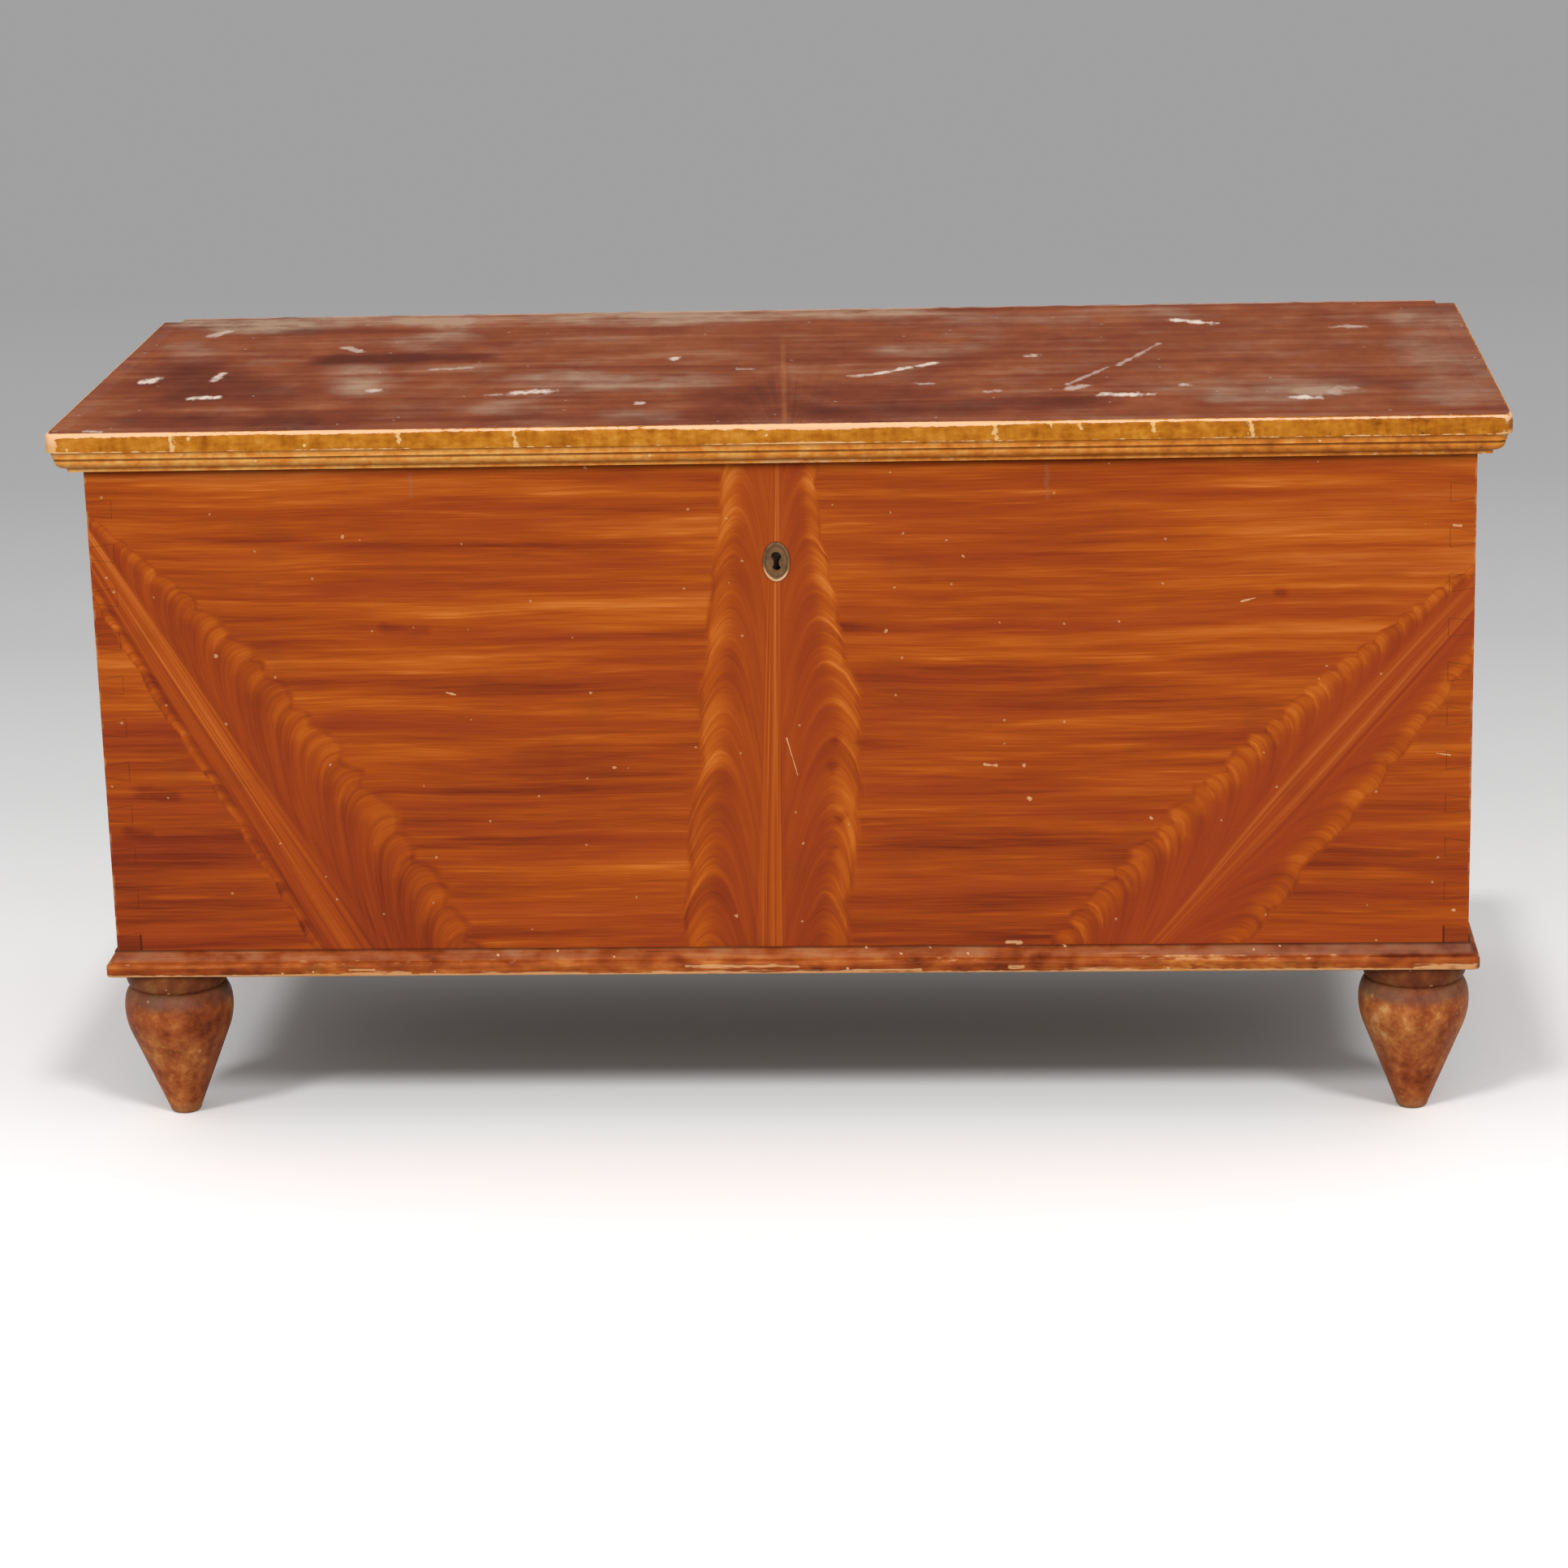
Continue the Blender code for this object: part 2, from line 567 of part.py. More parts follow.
def keyhole_outline(grow):
    """Keyhole in x and z about its middle: a round head, a waist and a flared foot."""
    head = KEYHOLE_HEAD_RADIUS + grow
    waist, foot, half = KEYHOLE_WAIST / 2 + grow, KEYHOLE_FOOT / 2 + grow, KEYHOLE_HEIGHT / 2 + grow
    head_z = half - head
    lean = math.degrees(math.acos(waist / head))
    outline = arc((0, head_z), (head, head), -lean, 180 + lean, 12)
    waist_z = -half / 3
    return outline + [(-waist, waist_z), (-foot, foot - half)] + arc(
        (0, foot - half), (foot, foot), 200, 340, 6) + [(foot, foot - half), (waist, waist_z)]


# The lock's places: the works lie between the plate on the inner face and the cap at the bottom of the mortise
works_y = front_inner_y - LOCK_PLATE
mortise_y = works_y - WORKS_DEPTH
bolt_y = works_y - BOLT_BACK - BOLT
bolt_middle_y = bolt_y + BOLT / 2
plate_foot_z = key_z - LOCK_BELOW_KEY
mortise_half = LOCK_WIDTH / 2 - LOCK_MARGIN
staple_half = BOLT / 2 + STAPLE_PLAY + STAPLE_LEG
staple_foot_z = lid_z - STAPLE_DROP
finger_z = staple_foot_z + STAPLE_BAR + STAPLE_PLAY

# The lock's mortise and recesses in the front board
cut(front_board, block((-LOCK_WIDTH / 2 - FIT, works_y - FIT, plate_foot_z - FIT),
                       (LOCK_WIDTH / 2 + FIT, front_inner_y + PAST, wall_top + PAST)))
cut(front_board, block((-LOCK_WIDTH / 2 - FIT, front_inner_y - SELVAGE - FIT, wall_top - LOCK_PLATE - FIT),
                       (LOCK_WIDTH / 2 + FIT, front_inner_y, wall_top + PAST)))
cut(front_board, block((-mortise_half, mortise_y, plate_foot_z + LOCK_MARGIN / 2),
                       (mortise_half, works_y, wall_top)))
cut(front_board, moved(prism(keyhole_outline(FIT), -PAST, WALL, along_y), (0, front_y, key_z)))

# Lock plate with its selvage turned over at the top, and two shouldered studs that guide the bolt
plate_outline = [(0.0, plate_foot_z - wall_top), (0.0, 0.0), (-SELVAGE, 0.0), (-SELVAGE, -LOCK_PLATE),
                 (-LOCK_PLATE, -LOCK_PLATE), (-LOCK_PLATE, plate_foot_z - wall_top)]
lock_plate = piece("lock_plate", prism(plate_outline, -LOCK_WIDTH / 2, LOCK_WIDTH / 2, along_x), IRON,
                   (0, front_inner_y, wall_top))
towards_front = Matrix.Rotation(math.pi / 2, 3, "X")
towards_inside = Matrix.Rotation(-math.pi / 2, 3, "X")
bar_z = key_z + BOLT_KEY_LIFT
stud_z = bar_z + BOLT_BAR / 2
stud_length = WORKS_DEPTH - CAP - 2 * FIT
for side_name, side in SIDES:
    stud = turned([(STUD_RADIUS, stud_length), (STUD_RADIUS, BOLT_BACK - FIT),
                   (STUD_SHOULDER_RADIUS, BOLT_BACK - FIT), (STUD_SHOULDER_RADIUS, -LOCK_PLATE / 2)], SMALL_FACETS)
    add(lock_plate, moved(turned_to(stud, towards_front), (side * STUD_SPACING / 2, works_y, stud_z)))
slot_half = STAPLE / 2 + FINGER_SHY
cut(lock_plate, block((-slot_half, bolt_middle_y - staple_half - STAPLE_SWAY, wall_top - LOCK_PLATE - PAST),
                      (slot_half, works_y - FIT, wall_top + PAST)))
lock_screw = screw_mesh(LOCK_SCREW_LENGTH)
for row, screw_z in (("upper", wall_top - SELVAGE), ("lower", plate_foot_z + LOCK_SCREW_INSET)):
    for side_name, side in SIDES:
        head = Vector((side * (LOCK_WIDTH / 2 - LOCK_SCREW_INSET), front_inner_y, screw_z))
        drive_screw(f"lock_screw_{row}_{side_name}", lock_screw, LOCK_SCREW_LENGTH, head, towards_inside,
                    (lock_plate, front_board))

# Cap behind the works, with the key's hole through it
lock_cap = piece("lock_cap", block((-CAP_WIDTH / 2, 0, -CAP_HEIGHT / 2), (CAP_WIDTH / 2, CAP, CAP_HEIGHT / 2)), IRON,
                 (0, mortise_y + FIT, stud_z - CAP_HEIGHT / 4))
cut(lock_cap, moved(prism(keyhole_outline(FIT), -PAST, PAST, along_y), (0, mortise_y + FIT, key_z)))


def bolt_outline():
    """The bolt in x and z from the key's axis: a bar with the key's talon, and an arm up to the finger."""
    left, right = -BOLT_WIDTH / 2, BOLT_WIDTH / 2
    low, high = BOLT_KEY_LIFT, BOLT_KEY_LIFT + BOLT_BAR
    finger_low = finger_z - key_z
    tip = -STAPLE / 2 - FINGER_SHY
    talon_left = -BOLT_TRAVEL / 2 - TALON_WIDTH / 2
    talon_right = talon_left + TALON_WIDTH
    return [(left, low), (talon_left, low), (talon_left, low + TALON_DEPTH), (talon_right, low + TALON_DEPTH),
            (talon_right, low), (right, low), (right, high), (left + BOLT_ARM, high),
            (left + BOLT_ARM, finger_low), (tip, finger_low), (tip, finger_low + FINGER), (left, finger_low + FINGER)]


# Bolt, drawn back to the left, with a slot for each stud as long as its travel
lock_bolt = piece("lock_bolt", prism(bolt_outline(), -BOLT / 2, BOLT / 2, along_y), IRON, (0, bolt_middle_y, key_z))
for side_name, side in SIDES:
    slot_radius = STUD_RADIUS + FIT
    right_end = side * STUD_SPACING / 2
    left_end = right_end - BOLT_TRAVEL
    slot = arc((right_end, stud_z), (slot_radius, slot_radius), -90, 90, 8)
    slot += arc((left_end, stud_z), (slot_radius, slot_radius), 90, 270, 8)
    cut(lock_bolt, prism(slot, bolt_y - PAST, bolt_y + BOLT + PAST, along_y))

# Strike let into the lid's underside, and the staple riveted to it
strike_y = bolt_middle_y - STRIKE_DEPTH / 2
strike_plate = piece("strike_plate", block((-STRIKE_WIDTH / 2, 0, 0), (STRIKE_WIDTH / 2, STRIKE_DEPTH, STRIKE)), IRON,
                     (0, strike_y, lid_z), lid_pivot)
cut(lid_board, block((-STRIKE_WIDTH / 2 - FIT, strike_y - FIT, lid_z - PAST),
                     (STRIKE_WIDTH / 2 + FIT, strike_y + STRIKE_DEPTH + FIT, lid_z + STRIKE + FIT)))
inner_half = staple_half - STAPLE_LEG
staple_outline = [(-staple_half, -STAPLE_DROP), (staple_half, -STAPLE_DROP), (staple_half, STRIKE),
                  (inner_half, STRIKE), (inner_half, STAPLE_BAR - STAPLE_DROP),
                  (-inner_half, STAPLE_BAR - STAPLE_DROP), (-inner_half, STRIKE), (-staple_half, STRIKE)]
piece("strike_staple", prism(staple_outline, -STAPLE / 2, STAPLE / 2, along_x), IRON, (0, bolt_middle_y, lid_z),
      lid_pivot)
for low, high in ((-staple_half, -inner_half), (inner_half, staple_half)):
    cut(strike_plate, block((-STAPLE / 2 - FIT, bolt_middle_y + low - FIT, lid_z - PAST),
                            (STAPLE / 2 + FIT, bolt_middle_y + high + FIT, lid_z + STRIKE + PAST)))
strike_screw = screw_mesh(STRIKE_SCREW_LENGTH)
for side_name, side in SIDES:
    head = Vector((side * (STRIKE_WIDTH / 2 - STRIKE_SCREW_INSET), bolt_middle_y, lid_z))
    drive_screw("strike_screw_" + side_name, strike_screw, STRIKE_SCREW_LENGTH, head, head_down,
                (strike_plate, lid_board), lid_pivot)

# Brass escutcheon on the face of the front board
oval = arc((0, 0), (ESCUTCHEON_WIDTH / 2, ESCUTCHEON_HEIGHT / 2), 0, 345, 23)
plate = prism(oval, -ESCUTCHEON, 0, along_y)
rim = [edge for edge in plate.edges if all(vert.co.y < -ESCUTCHEON / 2 for vert in edge.verts)]
bmesh.ops.bevel(plate, geom=rim, offset=ESCUTCHEON_EDGE, segments=2, profile=0.5, affect="EDGES", material=-1)
escutcheon = piece("escutcheon", plate, BRASS, (0, front_y - FIT, key_z), smooth=True)
cut(escutcheon, moved(prism(keyhole_outline(0.0), -PAST, PAST, along_y), (0, front_y - FIT, key_z)))
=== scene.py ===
"""A grain-painted pine blanket chest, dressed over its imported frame, on a pale studio floor."""
import json
import math

import bmesh
import bpy
from mathutils import Matrix, Vector, noise

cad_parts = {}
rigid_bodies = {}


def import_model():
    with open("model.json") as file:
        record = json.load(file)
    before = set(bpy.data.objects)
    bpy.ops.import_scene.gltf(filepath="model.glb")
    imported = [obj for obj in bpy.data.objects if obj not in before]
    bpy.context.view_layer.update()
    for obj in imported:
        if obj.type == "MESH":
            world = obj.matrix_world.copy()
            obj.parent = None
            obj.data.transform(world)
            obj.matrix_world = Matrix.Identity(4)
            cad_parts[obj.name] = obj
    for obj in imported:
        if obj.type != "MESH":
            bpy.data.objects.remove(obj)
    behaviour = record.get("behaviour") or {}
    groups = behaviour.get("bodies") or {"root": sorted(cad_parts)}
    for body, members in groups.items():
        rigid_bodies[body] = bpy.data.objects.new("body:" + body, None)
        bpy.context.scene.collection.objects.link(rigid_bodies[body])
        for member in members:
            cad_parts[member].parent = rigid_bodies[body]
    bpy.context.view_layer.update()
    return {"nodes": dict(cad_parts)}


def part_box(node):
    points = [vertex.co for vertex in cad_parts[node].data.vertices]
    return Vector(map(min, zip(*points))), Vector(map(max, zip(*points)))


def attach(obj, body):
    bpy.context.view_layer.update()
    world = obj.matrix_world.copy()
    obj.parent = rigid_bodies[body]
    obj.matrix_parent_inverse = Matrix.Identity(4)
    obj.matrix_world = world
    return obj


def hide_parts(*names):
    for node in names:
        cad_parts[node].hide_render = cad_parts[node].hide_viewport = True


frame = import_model()
nodes = frame["nodes"]


# Case: four wide pine boards, dovetailed at the corners. Its front and ends are painted like mahogany:
# red-brown glaze over a golden ground, brushed in level streaks, with three feathers across the front.
# Inside and at the back, the pine was left bare and has aged to a honey brown.
class Shade:
    """An output in a finish's node tree. Values take arithmetic, and node() adds any other node."""

    def __init__(self, tree, socket):
        self.tree = tree
        self.socket = socket

    def node(self, kind, settings=None, inputs=None, output=0):
        """A new node of a kind, with its settings and the values or links of its sockets."""
        made = self.tree.nodes.new("ShaderNode" + kind)
        for name, value in (settings or {}).items():
            if name == "stops":
                ramp = made.color_ramp.elements
                ramp[0].position, ramp[0].color = value[0]
                ramp[1].position, ramp[1].color = value[-1]
                for place, colour in value[1:-1]:
                    ramp.new(place).color = colour
            else:
                setattr(made, name, value)
        for name, value in (inputs or {}).items():
            if isinstance(value, Shade):
                self.tree.links.new(value.socket, made.inputs[name])
            else:
                made.inputs[name].default_value = value
        return Shade(self.tree, made.outputs[output]) if made.outputs else None

    def math(self, operation, *values):
        return self.node("Math", {"operation": operation}, dict(enumerate((self,) + values)))

    def __add__(self, other):
        return self.math("ADD", other)

    __radd__ = __add__

    def __sub__(self, other):
        return self.math("SUBTRACT", other)

    def __rsub__(self, other):
        return self.node("Math", {"operation": "SUBTRACT"}, {0: other, 1: self})

    def __mul__(self, other):
        return self.math("MULTIPLY", other)

    __rmul__ = __mul__

    def __truediv__(self, other):
        return self.math("DIVIDE", other)

    def __abs__(self):
        return self.math("ABSOLUTE")

    def __lt__(self, other):
        return self.math("LESS_THAN", other)

    def __gt__(self, other):
        return self.math("GREATER_THAN", other)

    def rise(self, low, high):
        """0 below low, 1 above high, and a smooth rise between them."""
        inputs = {0: self, 1: low, 2: high}
        return self.node("MapRange", {"interpolation_type": "SMOOTHSTEP"}, inputs)

    def cloud(self, size, drift=None, tilt=(0.0, 0.0, 0.0), detail=2.0, roughness=0.5):
        """Soft random values about 0.5, of a size in millimetres along axes that a tilt turns.

        A size of 0 leaves its axis out. A drift moves the clouds on, so that they follow any value."""
        home = Shade(self.tree, self.tree.nodes["Texture Coordinate"].outputs["Object"])
        spread = {"Vector": home, "Rotation": tilt, "Scale": [length / 1000 for length in size]}
        inputs = {"Scale": 1.0, "Detail": detail, "Roughness": roughness}
        if any(size):
            inputs["Vector"] = self.node("Mapping", {"vector_type": "TEXTURE"}, spread)
        if drift is not None:
            inputs["W"] = drift
        kind = "3D" if drift is None else "4D" if any(size) else "1D"
        return self.node("TexNoise", {"noise_dimensions": kind}, inputs)

    def over(self, under, colour):
        """A colour laid over another one, with this value as its strength."""
        return self.node("Mix", {"data_type": "RGBA"}, {0: self, 6: under, 7: colour}, 2)

    def ramp(self, *stops):
        """A colour that changes with this value, from stops of a place and its red, green and blue."""
        stops = [(stop[0], srgb(*stop[1:])) for stop in stops]
        return self.node("ValToRGB", {"stops": stops}, {0: self})


def srgb(red, green, blue):
    """A colour as a picture editor gives it, from 0 to 255, as a shader needs it."""
    parts = [part / 255 for part in (red, green, blue)]
    linear = [part / 12.92 if part < 0.04045 else ((part + 0.055) / 1.055) ** 2.4 for part in parts]
    return (*linear, 1.0)


def start_finish(name):
    """A new finish, and the place on its piece in millimetres, whole and by axes."""
    made = bpy.data.materials.new(name)
    made.use_nodes = True
    made.node_tree.nodes.clear()
    start = Shade(made.node_tree, None)
    metres = start.node("TexCoord", output="Object")
    place = start.node("VectorMath", {"operation": "SCALE"}, {0: metres, "Scale": 1000.0})
    split = start.node("SeparateXYZ", inputs={0: place}).socket.node
    return made, place, *(Shade(made.node_tree, output) for output in split.outputs)


def end_finish(made, colour, roughness, height, depth, specular=0.3, metallic=0.0):
    """Close a finish with a shader whose bump is height times depth in metres."""
    bump = height.node("Bump", inputs={"Strength": 1.0, "Distance": depth, "Height": height})
    inputs = {"Base Color": colour, "Roughness": roughness, "Normal": bump, "Metallic": metallic,
              "Specular IOR Level": specular}
    shader = height.node("BsdfPrincipled", inputs=inputs)
    height.node("OutputMaterial", inputs={"Surface": shader})


def pine_board(across, run):
    """Colour and height of bare aged pine, dusty and knotted.

    Its growth lines cross a value, and run along the axes marked 1."""
    first = across.cloud([300 * part + 110 * (1 - part) for part in run])
    line = across + first * 22
    lines = across.cloud([900 * part for part in run], line / 7, detail=3.0)
    fine = across.cloud([90 * part for part in run], line / 1.1)
    stain = across.cloud((150, 150, 110), detail=3.0)
    tone = 0.5 + (lines - 0.5) * 1.5 + (fine - 0.5) * 0.5 + (stain - 0.5) * 0.8
    colour = tone.ramp((0.0, 120, 72, 38), (0.4, 168, 112, 62), (0.7, 192, 138, 82), (1.0, 208, 161, 108))
    dust = across.cloud((70, 70, 70), detail=4.0).rise(0.45, 0.8) * 0.35
    colour = dust.over(colour, srgb(118, 88, 60))
    knots = flecks(across, 9.0, 0.5, (240, 240, 240))
    return (knots * 0.7).over(colour, srgb(84, 46, 22)), fine


def level_streaks(across):
    """Brushed graining: the tones of long level streaks, from 0, dark, to 1, pale, and their redness."""
    line = across + across.cloud((330, 330, 160)) * 16
    broad = across.cloud((420, 420, 0), line / 30)
    band = across.cloud((170, 170, 0), line / 8, detail=3.0)
    comb = across.cloud((80, 80, 0), line / 1.8)
    hairs = across.cloud((34, 34, 0), line / 0.9 + 20)
    pale = across.cloud((120, 120, 0), line / 5 + 70).rise(0.58, 0.74)
    red = across.cloud((300, 300, 0), line / 22 + 40).rise(0.42, 0.68)
    tone = 0.47 + (broad - 0.5) * 1.2 + (band - 0.5) * 1.05 + (comb - 0.5) * 0.5 + (hairs - 0.5) * 0.4
    return tone + pale * 0.26, red


def lay(under, over, mask):
    """One value over another where a mask is 1."""
    return under + mask * (over - under)


def feather(up, aside, width, climb, peak, stem, pitch, deep, bold, fine, seed):
    """Tones, mask and inner part of a feather.

    Its strokes climb beside the stem, and end at the edge in lapped petals."""
    def petals(stroke):
        return (stroke / pitch + up.cloud((0, 0, 0), stroke / pitch * 0.6) * 1.3).math("FRACT")

    off = abs(aside)
    start = up + seed * 50
    tip = petals(start - width * climb * 0.95)
    bays = up.cloud((0, 0, 0), up / 60 + seed) - 0.5
    share = off / (width * (0.95 + tip * (1 - tip) * fine * 0.44 + bays * 0.20))
    hook = 1 - (off / width).math("MINIMUM", 1.2) / peak
    stroke = start - (1 - hook * hook) * width * climb
    petal = petals(stroke + (up.cloud((16, 0, 16)) - 0.5) * 14)
    broad = up.cloud((120, 0, 120), stroke / 30)
    band = up.cloud((80, 0, 80), stroke / 8)
    comb = up.cloud((50, 0, 50), stroke / 1.8, detail=3.0)
    barbs = 0.48 + (broad - 0.5) * 0.6 + (band - 0.5) * fine * 0.5 + (comb - 0.5) * 0.46
    lapped = petal.rise(0.80, 0.97) * 0.28 - petal.rise(0.1, 0.80) * 0.15
    rim = share.rise(0.55, 0.90) * (0.13 + band.rise(0.35, 0.62) * 0.13)
    barbs = barbs + (lapped * share.rise(0.2, 0.75) + rim) * bold
    barbs = barbs - share.rise(0.10, 0.40) * (1 - share.rise(0.60, 0.86)) * deep
    barbs = barbs - (1 - abs(share - 1.02).rise(0.01, 0.07)) * 0.16
    lines = up.cloud((420, 0, 420), aside / stem * 2.6 + seed)
    hairs = up.cloud((260, 0, 260), aside / stem * 8 + seed)
    stalk = 0.56 + (lines - 0.5) * 2.1 + (hairs - 0.5) * 1.1
    tone = lay(barbs, stalk, 1 - off.rise(stem * 0.6, stem * 1.3))
    tone = tone - (1 - abs(off / stem - 1.1).rise(0.05, 0.3)) * fine * 0.10
    return tone, 1 - share.rise(0.98, 1.08), 1 - share.rise(0.5, 0.85)


def scratch(place, torn, start, end, width, strength=1.0, soft=0.0):
    """Mask of a mark between two places, as strong as given, with a torn edge that can be soft."""
    run = Vector(end) - Vector(start)
    off = place.node("VectorMath", {"operation": "SUBTRACT"}, {0: place, 1: start})
    along = run / max(run.length_squared, 1e-6)
    reach = off.node("VectorMath", {"operation": "DOT_PRODUCT"}, {0: off, 1: along}, 1)
    reach = reach.node("Clamp", inputs={0: reach})
    nearest = reach.node("VectorMath", {"operation": "SCALE"}, {0: run, "Scale": reach})
    distance = off.node("VectorMath", {"operation": "DISTANCE"}, {0: off, 1: nearest}, 1)
    edge = distance.math("MULTIPLY_ADD", 1 / width, torn)
    levels = {0: edge, 1: 0.25 - soft, 2: 0.6 + soft, 3: strength, 4: 0.0}
    return edge.node("MapRange", {"interpolation_type": "SMOOTHSTEP"}, levels)


def flecks(value, size, share, spacing, tilt=(0.0, 0.0, 0.0), seed=0.0):
    """Mask of small chips in a share of a spacing's cells, flat where its last length is 0."""
    home = Shade(value.tree, value.tree.nodes["Texture Coordinate"].outputs["Object"])
    spread = {"Vector": home, "Rotation": tilt, "Scale": [length / 1000 for length in spacing],
              "Location": (seed, seed, seed)}
    place = value.node("Mapping", {"vector_type": "TEXTURE"}, spread)
    kind = "3D" if spacing[2] else "2D"
    near = value.node("TexVoronoi", {"voronoi_dimensions": kind}, {"Vector": place, "Scale": 1.0})
    chosen = value.node("SeparateColor", inputs={0: Shade(near.tree, near.socket.node.outputs["Color"])})
    torn = value.cloud([size * 1.4] * 3, seed) - 0.5
    return ((near * (max(spacing) / size) + torn * 2.2) < chosen * 0.9) * (chosen > 1 - share)


def millimetres(name):
    """The low and high corners of a piece of the frame."""
    return [[part * 1000 for part in corner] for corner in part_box(name)]


case_paint, place, x, y, z = start_finish("grained_case_paint")
front_low, front_high = millimetres("front_board")
front_y, end_x, wall_top = front_low[1], front_high[0], front_high[2]
pin_x = millimetres("right_end_board")[0][0]
half_pin_top = front_low[2] + 16.4
skin = 0.2
on_front = y < front_y + skin
tone, red = level_streaks(z)

# The middle feather stands on a stem that leans a little, and the outer two run down from the ends.
# Each outer one has its foot and slope, its width and reach above and below the stem, how steeply its
# strokes climb, its stem's thickness, and the pitch and boldness of its petals above and below.
middle_x, middle_z, middle_lean, middle_tip = 1.0, 597, 0.0337, 601
outer_x = 150
on_left, on_right, outer = x < -outer_x, x > outer_x, abs(x) > outer_x
up, aside, fall = z, x - middle_x - (z - middle_z) * middle_lean, middle_tip - z
right_half = aside > 0
width = lay(46 + fall * 0.078, 36 + fall.rise(0, 260) * 41 - fall.rise(300, 400) * 9, right_half)
climb = lay(3.0, 2.4, right_half)
stem = 4 + fall * 0.02
pitch = lay(128, 56, right_half)
deep = lay(0.03, 0.10, right_half)
bold = 1.0
fine = lay(0.62, 1.0, outer)
peak = lay(0.70, 0.92, outer)
for here, foot, slope, upper, lower, steep, stalk, pitches, bolds in (
        (on_left, (-399, 180), (-0.496, 0.868), (98, 480), (27, 900),
         2.6, (24, -7, 10), (44, 52), (0.5, 0.9)),
        (on_right, (336, 174), (0.655, 0.756), (70, 500), (56, 640),
         2.2, (8, 11, 8), (27, 60), (0.7, 0.5))):
    outer_up = (x - foot[0]) * slope[0] + (z - foot[1]) * slope[1]
    outer_aside = ((x - foot[0]) * slope[1] - (z - foot[1]) * slope[0]) * math.copysign(1.0, -slope[0])
    over = outer_aside > 0
    tail = outer_up * outer_up
    wide = lay((1 - tail / lower[1] ** 2) * lower[0], (1 - tail / upper[1] ** 2) * upper[0], over)
    thick = stalk[0] + outer_up.rise(0, 200) * stalk[1] - outer_up.rise(200, 560) * stalk[2]
    up, aside = lay(up, outer_up, here), lay(aside, outer_aside, here)
    width, stem = lay(width, wide.math("MAXIMUM", 1.0), here), lay(stem, thick, here)
    climb = lay(climb, steep, here)
    pitch = lay(pitch, lay(pitches[1], pitches[0], over), here)
    bold = lay(bold, lay(bolds[1], bolds[0], over), here)
    deep = lay(deep, 0.12, here)
seed = (aside > 0) * 7 + on_right * 31 + on_left * 53
barbs, mask, inner = feather(up, aside, width, climb, peak, stem, pitch, deep, bold, fine, seed)
mask = mask * on_front
tone = lay(tone, barbs, mask)

# Dark smudges in the glaze, painted light over the front, and the colours it makes.
cloudy = (x.cloud((22, 22, 10), detail=3.0) - 0.5) * 1.6
for left, right, width in (
        ((-348, 467), (-312, 465), 8), ((44, 332), (46, 338), 8), ((48, 361), (50, 365), 8),
        ((50, 288), (54, 291), 7), ((42, 259), (46, 262), 7), ((437, 490), (441, 489), 7),
        ((-575, 318), (-545, 316), 11), ((-590, 280), (-570, 279), 9)):
    start, end = (left[0], front_y, left[1]), (right[0], front_y, right[1])
    tone = tone - scratch(place, cloudy, start, end, width, 0.26, 0.35)
# Painted light: the tone is lighter towards the right and the top. It is also darker towards the bottom
# and the lower left.
tone = tone + x.rise(-600, 600) * 0.09 + z.rise(430, 600) * 0.08 - 0.04
tone = tone - (1 - z.rise(165, 380)) * 0.14 - (1 - x.rise(-600, -430)) * (1 - z.rise(200, 480)) * 0.10
paint = tone.ramp((0.0, 108, 40, 20), (0.25, 143, 58, 22), (0.5, 166, 74, 21), (0.72, 185, 92, 26),
                  (1.0, 208, 120, 50))
redness = lay(red * 0.42, inner * (0.28 + (x > 0) * 0.14 + on_right * 0.16), mask)
paint = redness.over(paint, srgb(152, 58, 28))
dirt_and_painted_shade = x.cloud((60, 60, 45), detail=4.0).rise(0.55, 0.80) * 0.25
paint = dirt_and_painted_shade.over(paint, srgb(112, 54, 24))

# The lowest half pin shows dark at each corner.
# Chips, scratches, smears and rubbed edges show the ground.
pin_edge = abs(abs(x) - pin_x)
half_pin = (abs(x) > pin_x) * (z < half_pin_top) * on_front
paint = (half_pin * 0.35).over(paint, srgb(84, 36, 20))
joint = (1 - pin_edge.rise(0.5, 1.6)) * (z < half_pin_top + 1) * on_front
paint = (joint * 0.6).over(paint, srgb(62, 24, 12))
slant = (math.radians(90), 0.0, math.radians(45))
chips = flecks(x, 1.3, 0.34, (33, 46, 0), slant) * 0.6
chips = chips.math("MAXIMUM", flecks(x, 1.9, 0.25, (85, 120, 0), slant, 9.0) * 0.8)
torn = (x.cloud((5, 5, 5), detail=3.0) - 0.5) * 1.4
for left, right, width in (
        ((163, 527), (164, 526), 2.6), ((180, 337), (190, 336), 2.6), ((218, 306), (219, 305), 3.2),
        ((405, 483), (417, 486), 1.7), ((5, 363), (14, 329), 1.0), ((198, 172), (210, 171), 3.6),
        ((588, 549), (594, 548), 2.4), ((592, 199), (594, 199), 2.3), ((-296, 408), (-288, 406), 1.6),
        ((326, 287), (327, 286), 2.2), ((576, 344), (588, 342), 1.2)):
    start, end = (left[0], front_y, left[1]), (right[0], front_y, right[1])
    chips = chips.math("MAXIMUM", scratch(place, torn, start, end, width))
paint = (chips * 0.75).over(paint, srgb(222, 172, 122))
for smear_x, low in ((-319, 586), (237, 578)):
    smear = scratch(place, torn, (smear_x, front_y, 606), (smear_x, front_y, low), 4, 0.28, 0.15)
    paint = smear.over(paint, srgb(150, 104, 78))
edge = abs(x).rise(end_x - 2.5, end_x - skin) * (y < front_y + 2.5)
edge = edge.math("MAXIMUM", (y < front_y + 1.0) * z.rise(wall_top - 2, wall_top))
wear_and_highlight = edge * x.cloud((14, 14, 14), detail=3.0).rise(0.46, 0.62)
paint = (wear_and_highlight * 0.7).over(paint, srgb(196, 138, 88))
painted = on_front.math("MAXIMUM", abs(x) > end_x - skin)
